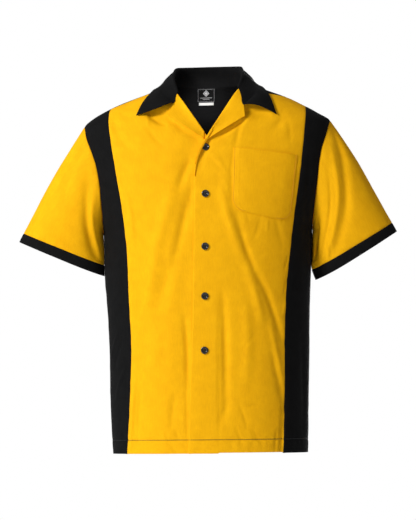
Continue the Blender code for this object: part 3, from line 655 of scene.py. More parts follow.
# Folds by degrees from the shoulder tip (90 in front, 180 under the arm) and share of the length.
SleeveFold = namedtuple("SleeveFold", "turn1 at1 turn2 at2 turn3 at3 width rise")
BEHIND_FOLDS = (
    SleeveFold(300, 0.05, 260, 0.50, 225, 0.95, 11, -3.5),
    SleeveFold(325, 0.05, 310, 0.40, 290, 0.80, 7, 1.5),
    SleeveFold(280, 0.10, 245, 0.45, 215, 0.80, 7, 1.5),
    SleeveFold(170, 0.10, 168, 0.40, 175, 0.80, 6, -1.5),
)
SLEEVE_FOLDS = {
    RIGHT: BEHIND_FOLDS + (
        SleeveFold(75, 0.08, 116, 0.50, 146, 0.97, 14, -5.5),
        SleeveFold(98, 0.10, 132, 0.50, 158, 0.90, 8, 1.5),
        SleeveFold(20, 0.02, 22, 0.25, 25, 0.50, 4, 1.0),
        SleeveFold(38, 0.02, 42, 0.30, 48, 0.60, 5, 1.2),
        SleeveFold(29, 0.03, 32, 0.25, 38, 0.50, 4, -1.0),
        SleeveFold(50, 0.03, 56, 0.30, 66, 0.55, 5, -1.0),
    ),
    LEFT: BEHIND_FOLDS + (
        SleeveFold(20, 0.03, 66, 0.42, 118, 0.98, 11, -4.5),
        SleeveFold(45, 0.05, 90, 0.45, 128, 0.97, 7, 2.5),
        SleeveFold(75, 0.10, 115, 0.50, 140, 0.95, 6, -2.0),
        SleeveFold(138, 0.12, 148, 0.50, 154, 0.86, 14, -9.0),
        SleeveFold(121, 0.75, 124, 0.88, 127, 1.00, 2.5, 1.2),
        SleeveFold(117, 0.76, 120, 0.88, 123, 1.00, 2.5, -1.2),
        SleeveFold(108, 0.82, 104, 0.88, 100, 0.93, 3, -0.6),
    ),
}
PER_DEGREE, SLEEVE_LENGTH = 1.25, 205    # millimetres of cloth to a degree, and along the sleeve
ROUND_ARMHOLE, ROUND_CUFF = 70, 66   # millimetres of seam to a radian, at either end


def oval(outer, inner, depth, around):
    """Ring of points about the line between two (x, z) corners, starting at the outer one."""
    outer, inner = np.array((outer[0], 0, outer[1])), np.array((inner[0], 0, inner[1]))
    centre, half = (outer + inner) / 2, (outer - inner) / 2
    power = 2 / SLEEVE_SQUARENESS
    cosine, sine = np.cos(around), np.sin(around)
    along = (np.sign(cosine) * np.abs(cosine) ** power)[:, None]
    forward = (np.sign(sine) * np.abs(sine) ** power)[:, None]
    return centre + along * half + forward * np.array((0, -depth, 0))


def start_directions(side, around):
    """Unit directions in which the sleeve cloth leaves the armhole."""
    fold = np.degrees(np.minimum(around, 2 * math.pi - around))
    out, forward, down = (through(STARTS, name, fold) for name in ("out", "forward", "down"))
    towards = np.where(around > math.pi, 1, -1)
    return unit(np.stack((side * START_SPREAD[side] * out, towards * forward, down), axis=-1))


def torso_share(points):
    """1 on the torso's surface, less inside it and more outside."""
    x, y, z = points[..., 0], points[..., 1], points[..., 2]
    height = z - x * through(TORSO, "lean", z)
    depth = np.where(y < 0, through(TORSO, "front", height), through(TORSO, "back", height))
    # above the neck the rings go on shrinking, so that the shoulders' slope has no step
    shrink = np.clip(1 - height / 60, 0.2, 1)
    half = through(TORSO, "half_width", height) * shrink
    across = np.abs(x - through(TORSO, "centre", height)) / half
    return (across ** SQUARENESS + (np.abs(y) / (depth * shrink)) ** SQUARENESS) ** (1 / SQUARENESS)


def clear_of_torso(points, lift):
    """Moves points out, where they need it, to lie at least so far above the torso."""
    points = points.copy()
    step = 0.5
    for _ in range(6):
        share = torso_share(points)
        slope = np.stack([(torso_share(points + step * axis) - torso_share(points - step * axis))
                          / (2 * step) for axis in np.eye(3)], axis=-1)
        steepness = np.maximum(np.linalg.norm(slope, axis=-1), 1e-6)
        missing = np.maximum(lift - (share - 1) / steepness, 0)
        points += (missing / steepness)[..., None] * slope
    return points


def hung_in(points, side, around, share):
    """Moves a sleeve's inner side against the body below the armhole."""
    inner = hill(around - math.pi, HUNG_WIDTH) * (
        smooth_step(share / HUNG_FULL) + HUNG_SWELL * np.sin(math.pi * share) ** 2)
    moved = points - side * HUNG_IN[side] * inner[..., None] * np.array((1.0, 0, 0))
    clearing = smooth_step((share - CLEAR_FROM) / CLEAR_OVER)
    clearing = np.broadcast_to(clearing, inner.shape)[..., None]
    return moved + (clear_of_torso(moved, SLEEVE_CLEAR) - moved) * clearing


def grid_normals(grid, wrap=False):
    """Unit normals of a grid of points, rows by columns; a wrapped grid's last column is its first."""
    if wrap:
        padded = np.concatenate((grid[:, -2:-1], grid, grid[:, 1:2]), axis=1)
        across = (padded[:, 2:] - padded[:, :-2])
    else:
        across = np.gradient(grid, axis=1)
    return unit(np.cross(across, np.gradient(grid, axis=0)))


def sleeve_rise(side, around, share):
    """Height of a sleeve's folds."""
    scale = np.array((PER_DEGREE, SLEEVE_LENGTH))[:, None]
    lines = [scale * fold_line(fold) for fold in SLEEVE_FOLDS[side]]
    return laid(SLEEVE_FOLDS[side], lines, np.degrees(around) * PER_DEGREE, share * SLEEVE_LENGTH)


cuffs = []
for sleeve in SLEEVES:
    side, name = sleeve.side, side_name(sleeve.side)
    around = np.linspace(0, 2 * math.pi, SLEEVE_COLUMNS)
    middle = (SHOULDER_TIP + UNDERARM) / 2
    levels = middle + (SHOULDER_TIP - middle) * np.cos(around)
    hole_angle = armhole_angle(side, levels)
    armhole = ring(np.where(around > math.pi, math.pi - hole_angle, hole_angle), levels)
    starts = start_directions(side, around)
    seam = oval(sleeve.seam_outer, sleeve.seam_inner, SEAM_DEPTH, around)
    end = oval(sleeve.end_outer, sleeve.end_inner, END_DEPTH, around)
    along = unit(end - seam)
    # under the arm the seam allowance reaches a little into the body
    reach = GAP / 2 - ALLOWANCE_IN * hill(around - math.pi, ALLOWANCE_WIDTH)
    first = armhole + starts * reach[:, None]
    length = np.linalg.norm(seam - first, axis=1, keepdims=True)
    share = np.linspace(0, 1, SLEEVE_ROWS)
    points = cubic(share[:, None, None], first, seam, starts * length, along * length)
    turns, shares = np.broadcast_arrays(around, share[:, None])
    points = hung_in(points, side, turns, shares)
    seam, end = hung_in(seam, side, around, 1.0), hung_in(end, side, around, 0.5)
    rise = sleeve_rise(side, turns, shares) + unevenness(points) * np.sin(math.pi * shares) ** 0.5
    rise += seam_pucker(shares * SLEEVE_LENGTH, turns * ROUND_ARMHOLE, 1.7)
    rise += seam_pucker((1 - shares) * SLEEVE_LENGTH, turns * ROUND_CUFF, 0.4)
    normals = side * grid_normals(points, wrap=True)
    points = points + normals * rise[..., None]
    draw_in(points, ("top",))
    points, normals = points[:, ::side], normals[:, ::side]
    cuffs.append((side, name, seam[::side], end[::side], normals[-1], turns[-1, ::side]))
    flat = flat_plan(points)
    points, normals, flat = turned_under(points, normals, flat, "bottom", TURN, 2)
    points, normals, flat = turned_under(points, normals, flat, "top", TURN, 2)
    piece = cloth(f"sleeve_cloth_{name}", points, flat, yellow_poplin, CLOTH, tube=True)
    on_shirt(piece, "yellow_cloth", f"sleeve_{name}")

# ---------------------------------------------------------------- cuffs
# A narrow band of black poplin on each sleeve's end, folded double round the open edge and sewn
# flat, so that its inside is as neat as its outside.
CUFF_ROWS, CUFF_WIDTH = 8, 21
CUFF_RISE = 0.5                      # how far it stands out from the sleeve
CUFF_TURN = 0.75                     # radius of its fold at the open edge
CUFF_STITCH = 18                     # its row of stitches, from the sleeve's seam
for side, name, seam, end, normals, turns in cuffs:
    share = np.linspace(0, 1, CUFF_ROWS + 1)[:, None, None]
    points = seam * (1 - share) + end * share
    outward = np.repeat(normals[None], len(points), axis=0)
    swell = 0.5 * np.sin(turns * 5 + 1) * np.sin(turns * 2 + 0.4)
    share = share[..., 0]
    from_seam = share * CUFF_WIDTH
    sunk = -0.5 * hill(from_seam, 1.6) - 0.2 * hill(from_seam - CUFF_STITCH, 1.2)
    points = points + outward * (CUFF_RISE + swell * share + sunk)[..., None]
    draw_in(points, ("bottom",))
    flat = flat_plan(points)
    points, outward, flat = turned_under(points, outward, flat, "bottom", TURN, 1)
    points, outward, flat = turned_under(points, outward, flat, "top", CUFF_TURN, CUFF_ROWS - 1)
    piece = cloth(f"cuff_cloth_{name}", points, flat, black_poplin, CLOTH, tube=True)
    on_shirt(piece, "black_cloth", f"cuff_{name}")

# ---------------------------------------------------------------- collar
# A one-piece camp collar of black poplin over an interlining: two layers sewn round the edge and
# turned, set into the neck seam, rolled over at the back and lying flat towards its two points.
Station = namedtuple("Station", "at seam_height seam_angle roll_in roll_up mid_x mid_y mid_z x y z")
COLLAR = (
    Station(0, GORGE[LEFT], 0, 0.0, 6.0, 71, -70, -47, 142, -71, -66),
    Station(1, -8.0, 0, 3.0, 13.0, 96, -50, -24, 130, -54, -42),
    Station(2, -2.0, 0, 7.0, 20.0, 96, -26, -3, 116, -31, -20),
    Station(3, 0.0, 98, 8.0, 28.0, 92, 6, 8, 109, 5, -8),
    Station(4, 0.0, 128, 5.0, 40.0, 84, 42, 15, 104, 48, -24),
    Station(5, 0.0, 154, 6.0, 41.5, 68, 72, 10, 80, 82, -36),
    Station(6, 0.0, 180, 7.0, 42.0, 0, 86, 4, 0, 103, -42),
)
# The front edge: where the gorge seam ends at the notch (x, z), the collar's tip, the lapel's
# corner, and the lapel's lower end beside the edge of the front.
Notch = namedtuple("Notch", "side notch_x notch_z tip_x tip_z corner_x corner_z foot_x foot_z")
NOTCHES = (
    Notch(LEFT, 72.3, -48.3, 139.7, -66.8, 75.1, -70.4, -1.0, -117.5),
    Notch(RIGHT, -69.9, -44.2, -146.4, -68.5, -81.6, -69.4, -9.0, -116.0),
)
TIP_BOW = {LEFT: 2, RIGHT: -6}       # how far the collar's front edge arches above a straight line
NECK_BOW = {LEFT: 10, RIGHT: 6}      # how far its stand bows out beside the neck,
BOW_STATION, BOW_WIDTH, BOW_ROWS = 4.3, 0.8, 4   # round this station; its first rows bow out less
FOLD = 2.6                           # radius of the fold's middle line
COLLAR_THICKNESS = 1.6
COLLAR_LIFT = 3.2                    # middle of the collar's cloth over the torso
TIP_LIFT = 10.5                      # and how much more along its front edge's free part
NOTCH_DOWN = 0.4                     # which starts at this share of the collar's fall
TIP_STATIONS = 1.8                   # and within so many stations of that edge
STATIONS_BETWEEN = 3
SMOOTHINGS = 14
NECK_MIDDLE = np.array((0, 12.0, 0))


def collar_half(side, stations):
    """Middle line of the collar's cloth on one side: rows from the seam over the roll to the edge."""
    def value(name):
        return through(COLLAR, name, stations)

    fading = (1 - smooth_step(stations / 2))[:, None]
    seam_height = value("seam_height") + fading[:, 0] * (GORGE[side] - GORGE[LEFT])
    on_edge = stations < 3
    angle = np.where(on_edge, front_edge_angle(side, seam_height), side * np.radians(value("seam_angle")))
    seam = ring(angle, seam_height)
    outward = unit((seam - NECK_MIDDLE) * (1, 1, 0))
    upright = np.array((0, 0, 1.0))
    roll_up, roll_in = value("roll_up")[:, None], value("roll_in")[:, None]
    radius = np.minimum(FOLD, roll_up * 0.6)
    fold_centre = seam - outward * roll_in + upright * (roll_up - radius)
    fold = [fold_centre + radius * (math.cos(turn) * outward + math.sin(turn) * upright)
            for turn in np.radians((180, 130, 90, 50, 0))]
    base = seam + unit(fold[0] - seam) * GAP
    notch = next(row for row in NOTCHES if row.side == side)
    middle = np.stack((side * value("mid_x"), value("mid_y"), value("mid_z")), axis=-1)
    edge = np.stack((side * value("x"), value("y"), value("z")), axis=-1)
    lean = through(TORSO, "lean", 0)
    middle[:, 2] += middle[:, 0] * lean
    edge[:, 2] += edge[:, 0] * lean
    # the notch and the tip differ between the sides; the difference dies out by the third station
    middle += fading * (np.array((notch.notch_x, middle[0, 1], notch.notch_z)) - middle[0])
    edge += fading * (np.array((notch.tip_x, edge[0, 1], notch.tip_z)) - edge[0])
    fall = [fold[-1] + (middle - fold[-1]) / 2, middle]
    for share in (1 / 3, 2 / 3, 1):
        arch = fading * 4 * share * (1 - share) * TIP_BOW[side]
        fall.append(middle + (edge - middle) * share + arch * upright)
    fall = [clear_of_torso(points, COLLAR_LIFT) for points in [fold[-1]] + fall]
    rows = np.array([base, base + (fold[0] - base) / 2] + fold[:-1] + fall)
    bowed = side * NECK_BOW[side] * hill(stations - BOW_STATION, BOW_WIDTH)
    rows[..., 0] += bowed * np.clip(np.arange(len(rows)) / BOW_ROWS, 0, 1)[:, None]
    return rows


def finer(grid, steps):
    """A grid with so many rows for every one, on a smooth curve through each column's points."""
    apart = np.linalg.norm(np.diff(grid, axis=0), axis=-1).mean(axis=1)
    at = np.concatenate(([0], np.cumsum(apart)))
    tangents = np.gradient(grid, at, axis=0)
    new = np.interp(np.linspace(0, len(at) - 1, (len(at) - 1) * steps + 1), np.arange(len(at)), at)
    k = np.clip(np.searchsorted(at, new, side="right") - 1, 0, len(at) - 2)
    width = (at[k + 1] - at[k])[:, None, None]
    return cubic((new - at[k])[:, None, None] / width, grid[k], grid[k + 1],
                 tangents[k] * width, tangents[k + 1] * width)


def rounded_rim(piece, width):
    rim = piece.modifiers.new("rim", "BEVEL")
    rim.width = width * MM
    rim.segments = 3
    rim.limit_method = "ANGLE"
    rim.angle_limit = math.radians(60)
    rim.harden_normals = False


stations = np.linspace(0, 6, 6 * STATIONS_BETWEEN + 1)
left_half, right_half = (collar_half(side, stations) for side in (LEFT, RIGHT))
collar = np.concatenate((right_half, left_half[:, -2::-1]), axis=1)
collar = finer(finer(collar, 5).swapaxes(0, 1), 5).swapaxes(0, 1)
station = 6 - np.abs(np.linspace(-6, 6, collar.shape[1]))[None, :]
down = np.clip((np.linspace(0, 11, collar.shape[0])[:, None] - 6) / 5, 0, 1)
for _ in range(SMOOTHINGS):
    collar[:, 1:-1] = collar[:, 1:-1] / 2 + (collar[:, :-2] + collar[:, 2:]) / 4
free = np.clip((down - NOTCH_DOWN) / (1 - NOTCH_DOWN), 0, 1)
near_edge = smooth_step((TIP_STATIONS - station) / TIP_STATIONS)
lifted = TIP_LIFT * near_edge * np.sin(math.pi * free ** 0.65) ** 0.8
soft = 0.5 * unevenness(collar) * np.clip(down * 3, 0, 1)
collar = collar + grid_normals(collar) * (lifted + soft)[..., None]
draw_in(collar, ("start", "end"))
piece = cloth("collar_cloth", collar[::-1], flat_plan(collar)[::-1], black_poplin, COLLAR_THICKNESS,
              offset=0.0)
rounded_rim(piece, 0.5)
on_shirt(piece, "black_cloth", "collar")

# ---------------------------------------------------------------- lapels
# Each front's own facing, turned out above the top button: two layers of yellow poplin. The cloth
# rolls over without a pressed crease, and the roll runs on a little way down the left front's edge.
LAPEL_THICKNESS = 1.3
NOTCH_SHARE = 0.6                    # the gorge seam's share of a lapel's top, whose rest is free
LAPEL_START = {LEFT: -115.5, RIGHT: -102}
ROLL_FOOT = -192                     # where the left front's roll dies out
ROLL_SUNK = 0.6                      # how far a roll reaches below the front's edge and beyond it
ROLL_TURNS = np.radians((-40, -10, 20, 50, 80, 110, 140, 180))
LAPEL_COLUMNS = 34
Roll = namedtuple("Roll", "height radius edge_rise")
ROLLS = {
    LEFT: (Roll(-192, 0.8, 1.2), Roll(-160, 1.9, 3.2), Roll(-134, 3.2, 5.4), Roll(-118, 3.3, 5.6),
           Roll(-104, 2.9, 5.2), Roll(-80, 2.6, 5.0), Roll(-50, 2.3, 4.8), Roll(0, 2.0, 3.6)),
    RIGHT: (Roll(-116, 1.5, 2.8), Roll(-102, 1.7, 3.8), Roll(-80, 2.3, 5.0), Roll(-50, 2.2, 5.4),
            Roll(0, 2.0, 4.2)),
}


def on_front(x, z):
    """Angle and height of the front's point that shows at (x, z), found by undoing the lean."""
    x, z = np.broadcast_arrays(np.asarray(x, float), np.asarray(z, float))
    height = z
    for _ in range(4):
        forward = np.maximum(np.cos(angle_at(x, height)), 0) ** (2 / SQUARENESS)
        height = (z - x * through(TORSO, "lean", height)
                  - through(TORSO, "front_rise", height) * forward)
    return angle_at(x, height), height


def on_cloth(angle, height, lift, rise, dip=0.0):
    """Points over a torso piece's folded surface, and the directions out of it."""
    surface, outward = ring(angle, height), ring_normal(angle, height)
    level = rise(angle, height, surface[..., 2]) + unevenness(surface) - dip
    return surface + outward * (level + lift)[..., None], outward


for notch in NOTCHES:
    side, name = notch.side, side_name(notch.side)
    start = LAPEL_START[side]
    heights = np.linspace(ROLL_FOOT if side == LEFT else start, GORGE[side], 92 if side == LEFT else 60)
    up = np.clip((heights - start) / (GORGE[side] - start), 0, 1)
    roll_angle = front_edge_angle(side, heights)
    roll_x = through(FRONT_EDGE, name, heights)
    dip = under_front_dip(roll_x, heights) if side == RIGHT else 0 * heights
    edge, outward = on_cloth(roll_angle, heights, 0 * heights, folded_front, dip)
    off = unit(np.cross(unit(np.gradient(edge, axis=0)), outward))
    off *= np.sign(-side * off[:, :1])
    radius = through(ROLLS[side], "radius", heights)[:, None]
    centre = edge + (outward - off) * (radius - ROLL_SUNK)
    roll = np.stack([centre + radius * (math.sin(turn) * off - math.cos(turn) * outward)
                     for turn in ROLL_TURNS], axis=1)
    roll_z = heights + roll_x * through(TORSO, "lean", heights)
    outer_x = notch.foot_x + (notch.corner_x - notch.foot_x) * up
    outer_z = notch.foot_z + (notch.corner_z - notch.foot_z) * up
    width = (notch.foot_x - through(FRONT_EDGE, name, start)) * (
        np.clip((heights - ROLL_FOOT) / (start - ROLL_FOOT), 0, 1) ** 0.6)
    strip = heights < start
    outer_x, outer_z = np.where(strip, roll_x + side * width, outer_x), np.where(strip, roll_z, outer_z)
    over = np.linspace(0, 1, LAPEL_COLUMNS)[None, 1:]
    # the top row bends to pass through the notch
    towards = np.where(over < NOTCH_SHARE, over / NOTCH_SHARE, (1 - over) / (1 - NOTCH_SHARE))
    towards = towards * up[:, None] ** 4
    bend_x = notch.notch_x - (roll_x[-1] + (notch.corner_x - roll_x[-1]) * NOTCH_SHARE)
    bend_z = notch.notch_z - (roll_z[-1] + (notch.corner_z - roll_z[-1]) * NOTCH_SHARE)
    top = roll[:, -1]
    x = top[:, :1] + (outer_x[:, None] - top[:, :1]) * over + bend_x * towards
    z = top[:, 2:] + (outer_z[:, None] - top[:, 2:]) * over + bend_z * towards
    crest, edge_rise = 2 * radius - ROLL_SUNK, through(ROLLS[side], "edge_rise", heights)[:, None]
    low = np.minimum(2.0, edge_rise)
    lift = low + (crest - low) * (1 - over) ** 2.2 + (edge_rise - low) * over ** 3
    angle, height = on_front(x, z)
    dip = under_front_dip(x, height) if side == RIGHT else np.zeros(x.shape)
    flat_part = on_cloth(angle, height, lift, folded_front, dip)[0]
    lapel = np.concatenate((roll, flat_part), axis=1)
    draw_in(lapel, ("top",))
    lapel = lapel[:, ::side]
    piece = cloth(f"lapel_cloth_{name}", lapel, flat_plan(lapel), yellow_poplin, LAPEL_THICKNESS)
    rounded_rim(piece, 0.35)
    on_shirt(piece, "yellow_cloth", f"lapel_{name}")

# ---------------------------------------------------------------- chest pocket
# A yellow patch pocket on the wearer's left, with rounded lower corners. Its edge is turned in and
# sewn down close by on three sides; the top is open, with a hem of its own inside.
POCKET_CORNERS = ((52.6, -134.2), (182.9, -149.2), (49.0, -260.7), (167.5, -286.4))
POCKET_RADIUS = 22
POCKET_ROWS, POCKET_COLUMNS = 62, 66
POCKET_TURN = 0.3                    # radius of its turned edge
POCKET_SEAM, POCKET_HEM = 11, 21     # width of its turned side, and of the hem at its top
POCKET_CLOTH = 0.3
STITCH_INSET = 2.2                   # its row of stitches, from its edge
left_top, right_top, left_foot, right_foot = (np.array(corner) for corner in POCKET_CORNERS)


def pocket_line(drop, inset):
    """Ends of the pocket's cloth so far below its top edge, drawn in at both."""
    start = left_top + (left_foot - left_top) * drop / POCKET_DEPTH
    end = right_top + (right_foot - right_top) * drop / POCKET_DEPTH
    along = unit(end - start)
    return start + along * inset, end - along * inset


def outline(inset):
    """The pocket's edge down one side, round the foot and up the other, so far inside it."""
    radius = POCKET_RADIUS - inset
    turns = np.linspace(0, QUARTER, 14)
    drops = np.concatenate((np.linspace(0, POCKET_DEPTH - POCKET_RADIUS, 40)[:-1],
                            POCKET_DEPTH - inset - radius * (1 - np.sin(turns))))
    insets = inset + np.concatenate((np.zeros(39), radius * (1 - np.cos(turns))))
    ends = [pocket_line(drop, drawn) for drop, drawn in zip(drops, insets)]
    return np.array([start for start, end in ends] + [end for start, end in ends[::-1]])


def gap_to(line, x, z):
    """Distance of points from a line of (x, z) points."""
    steps = np.diff(line, axis=0)
    offset = np.stack((x, z), axis=-1)[..., None, :] - line[:-1]
    share = np.clip((offset * steps).sum(-1) / np.maximum((steps ** 2).sum(-1), 1e-9), 0, 1)
    return np.linalg.norm(offset - share[..., None] * steps, axis=-1).min(axis=-1)


POCKET_DEPTH = np.linalg.norm(left_foot - left_top)
drops = np.linspace(0, 1, POCKET_ROWS) * POCKET_DEPTH
past = np.clip(drops - (POCKET_DEPTH - POCKET_RADIUS), 0, POCKET_RADIUS)
insets = POCKET_RADIUS - np.sqrt(POCKET_RADIUS ** 2 - past ** 2)
shares = np.linspace(0, 1, POCKET_COLUMNS)[:, None]
grid = np.array([start + (end - start) * shares for start, end in
                 (pocket_line(drop, inset) for drop, inset in zip(drops, insets))])[::-1]
x, z = grid[..., 0], grid[..., 1]
from_edge = gap_to(outline(0.0), x, z)
from_stitch = gap_to(outline(STITCH_INSET), x, z)
from_left, from_right = x - x[:, :1], x[:, -1:] - x
below_top = (drops[::-1])[:, None]
open_top = smooth_step(1 - below_top / 26) * smooth_step(from_edge / 14)
body = 1.1 + 1.5 * smooth_step(from_edge / 26) + 0.9 * open_top
allowance = 0.35 * hill(from_left - POCKET_SEAM, 1.6) + 0.3 * hill(below_top - POCKET_HEM, 1.2)
puckers = 0.35 * np.sin(z / 4.3 + 1) * np.sin(z / 15 + 0.6) * hill(from_right, 9)
puckers += 0.22 * np.sin(z / 5.1) * np.sin(z / 13 + 2) * hill(from_left, 8)
lift = body + allowance + puckers - 0.5 * hill(from_stitch, 1.0)
angle, height = on_front(x, z)
points, outward = on_cloth(angle, height, lift, front_rise)
flat = flat_plan(points)
for edge in ("start", "end", "top", "bottom"):
    points, outward, flat = turned_under(points, outward, flat, edge, POCKET_TURN,
                                         POCKET_ROWS // 6 if edge == "top" else 2)
piece = cloth("pocket_cloth", points, flat, yellow_poplin, POCKET_CLOTH)
on_shirt(piece, "yellow_cloth", "pocket")

# ---------------------------------------------------------------- stitching
# The threads that show: black lockstitches all round the hem, on yellow and black alike, and yellow
# ones round the pocket. Each row is one mesh of small rounded stitches.
# Half the width of a stitch, its length, and how far it is to the next.
Stitch = namedtuple("Stitch", "half_width length pitch")
HEM_THREAD, POCKET_THREAD = Stitch(0.6, 3.5, 4.0), Stitch(0.35, 2.5, 3.0)
HEM_LIFT, POCKET_LIFT = -0.35, 1.25  # where the rows lie over the torso's folded surface
# A stitch's rings: where along it, how thick, and how far off the cloth, in halves of its width.
STITCH_FORM = ((0, 0.35, -0.35), (0.2, 0.85, 0.15), (0.5, 1, 0.3), (0.8, 0.85, 0.15), (1, 0.35, -0.35))


def thread(name, colour):
    """Spun polyester sewing thread: a slight sheen, and a fine random mottle in its colour."""
    finish = new_finish(name, colour, Roughness=0.6)
    place = node(finish, "TexCoord", "Object", {})
    noise = node(finish, "TexNoise", "Fac", {"Vector": place, "Scale": 900.0})
    shadow = [0.75 * value for value in colour]
    shade(finish, {"Base Color": blend(finish, noise, shadow, colour)})
    return finish


def stitches(name, path, outward, stitch, finish):
    """A row of stitches along a path over the cloth, as one mesh."""
    steps = np.linalg.norm(np.diff(path, axis=0), axis=-1)
    at = np.concatenate(([0], np.cumsum(steps)))
    middles = np.arange(stitch.pitch / 2, at[-1], stitch.pitch)

    def along(values, places):
        return np.stack([np.interp(places, at, values[:, axis]) for axis in range(3)], axis=-1)

    first, last = (along(path, middles + end * stitch.length / 2) for end in (-1, 1))
    out = unit(along(outward, middles))
    forward = unit(last - first)
    across = np.cross(forward, out)
    rings = []
    for share, size, sunk in STITCH_FORM:
        centre = first + (last - first) * share + out * sunk * stitch.half_width
        rings.append(np.stack([
            centre + stitch.half_width * size * (math.cos(turn) * across + math.sin(turn) * out)
            for turn in np.radians((0, 60, 120, 180, 240, 300))], axis=1))
    rings = np.stack(rings, axis=1)
    faces = np.array([(k + j, k + (j + 1) % 6, k + 6 + (j + 1) % 6, k + 6 + j)
                      for k in (0, 6, 12, 18) for j in range(6)])
    caps = np.array(((5, 4, 3, 2, 1, 0), (24, 25, 26, 27, 28, 29)))
    offsets = np.arange(len(middles))[:, None, None] * 30
    mesh = bpy.data.meshes.new(name)
    mesh.from_pydata((rings.reshape(-1, 3) * MM).tolist(), [],
                     (faces + offsets).reshape(-1, 4).tolist() + (caps + offsets).reshape(-1, 6).tolist())
    mesh.materials.append(finish)
    mesh.shade_smooth()
    row = placed(mesh, name)
    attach(row, "root")
    return row


black_thread = thread("black_thread", (0.012, 0.012, 0.013))
yellow_thread = thread("yellow_thread", (0.80, 0.36, 0.006))

height = HEM + HEM_STITCH
lap = float(front_edge_angle(LEFT, height))
legs = (
    (np.linspace(-QUARTER, lap, 200), under_front_rise, RIGHT),
    (np.linspace(lap, QUARTER, 240), front_rise, LEFT),
    (np.linspace(QUARTER, 3 * QUARTER, 300), back_rise, LEFT),
)
path, outward = [], []
for turns, rise, side in legs:
    levels = np.full(turns.shape, height)
    dip = under_front_dip(ring(turns, levels)[:, 0], levels) if side == RIGHT else 0 * turns
    leg, leg_outward = on_cloth(turns, levels, np.full(turns.shape, HEM_LIFT), rise, dip)
    path.append(leg)
    outward.append(leg_outward)
row = stitches("hem_stitches", np.concatenate(path), np.concatenate(outward), HEM_THREAD,
               black_thread)

line = outline(STITCH_INSET)
angle, height = on_front(line[:, 0], line[:, 1])
path, outward = on_cloth(angle, height, np.full(len(line), POCKET_LIFT), front_rise)
row = stitches("pocket_stitches", path, outward, POCKET_THREAD, yellow_thread)

# ---------------------------------------------------------------- buttons
# Five black four-hole buttons of glossy plastic, about 15 mm across, each sewn through its holes
# with black thread. The buttonholes lie hidden beneath them.
BUTTON_LIFT = 0.5
HOLE_RADIUS, HOLE_SPREAD = 0.95, 1.55
BUTTON_SECTION = ((0, 1.25), (2.0, 1.3), (3.7, 1.45), (4.3, 1.8), (4.8, 2.6), (5.4, 2.95), (6.2, 3.0),
                  (6.9, 2.7), (7.4, 2.1), (7.6, 1.5), (7.4, 0.9), (6.7, 0.35), (5.5, 0.05), (0, 0.1))
Button = namedtuple("Button", "x z turn")
BUTTONS = (Button(-4.7, -133, 8), Button(-5.3, -229, 40), Button(-5.9, -336, -14),
           Button(-6.3, -437, 22), Button(-6.9, -547, 3))

BUTTON_BLACK = (0.010, 0.010, 0.011)
plastic = new_finish("button_plastic_glossy", BUTTON_BLACK, Base_Color=(*BUTTON_BLACK, 1), Coat_Weight=0.5)
place = node(plastic, "TexCoord", "Object", {})
noise = node(plastic, "TexNoise", "Fac", {"Vector": place, "Scale": 260.0})
shade(plastic, {"Roughness": node(plastic, "MapRange", "Result",
                                  {"Value": noise, "To Min": 0.16, "To Max": 0.30})})

bm = bmesh.new()
ends = [bm.verts.new((radius * MM, 0, rise * MM)) for radius, rise in BUTTON_SECTION]
edges = [bm.edges.new(pair) for pair in zip(ends, ends[1:])]
bmesh.ops.spin(bm, geom=ends + edges, axis=(0, 0, 1), cent=(0, 0, 0), steps=48,
               angle=2 * math.pi, use_merge=True)
bmesh.ops.remove_doubles(bm, verts=bm.verts[:], dist=0.00001)
bmesh.ops.recalc_face_normals(bm, faces=bm.faces[:])
blank = placed(as_mesh(bm, "button_blank"), "button_blank")
bm = bmesh.new()
QUARTERS = ((1, 1), (-1, 1), (-1, -1), (1, -1))
for hole_x, hole_y in HOLE_SPREAD * np.array(QUARTERS):
    cone = bmesh.ops.create_cone(bm, cap_ends=True, segments=14, radius1=HOLE_RADIUS * MM,
                                 radius2=HOLE_RADIUS * MM, depth=8 * MM)
    bmesh.ops.translate(bm, verts=cone["verts"], vec=(hole_x * MM, hole_y * MM, 0))
drills = placed(as_mesh(bm, "button_drills"), "button_drills")
drilled = blank.modifiers.new("holes", "BOOLEAN")
drilled.object = drills
drilled.solver = "EXACT"
bpy.context.view_layer.update()
button_mesh = bpy.data.meshes.new_from_object(blank.evaluated_get(bpy.context.evaluated_depsgraph_get()))
for one in (blank, drills):
    bpy.data.objects.remove(one, do_unlink=True)

bm = bmesh.new()
for sign in (1, -1):
    for strand in (-0.42, 0, 0.42):
        bar = bmesh.ops.create_uvsphere(bm, u_segments=10, v_segments=8, radius=0.5 * MM)["verts"]
        bmesh.ops.scale(bm, verts=bar, vec=(4.6, 0.55, 0.9))
        bmesh.ops.translate(bm, verts=bar, vec=(0, (strand + sign * HOLE_SPREAD) * MM, 1.35 * MM))
shank = bmesh.ops.create_cone(bm, cap_ends=True, segments=12, radius1=1.9 * MM, radius2=1.9 * MM,
                              depth=1.6 * MM)["verts"]
bmesh.ops.translate(bm, verts=shank, vec=(0, 0, -0.7 * MM))
sewing_mesh = as_mesh(bm, "button_sewing")
for shape, finish in ((button_mesh, plastic), (sewing_mesh, black_thread)):
    shape.materials.clear()
    shape.materials.append(finish)
    shape.shade_smooth()
    shape.set_sharp_from_angle(angle=math.radians(60))

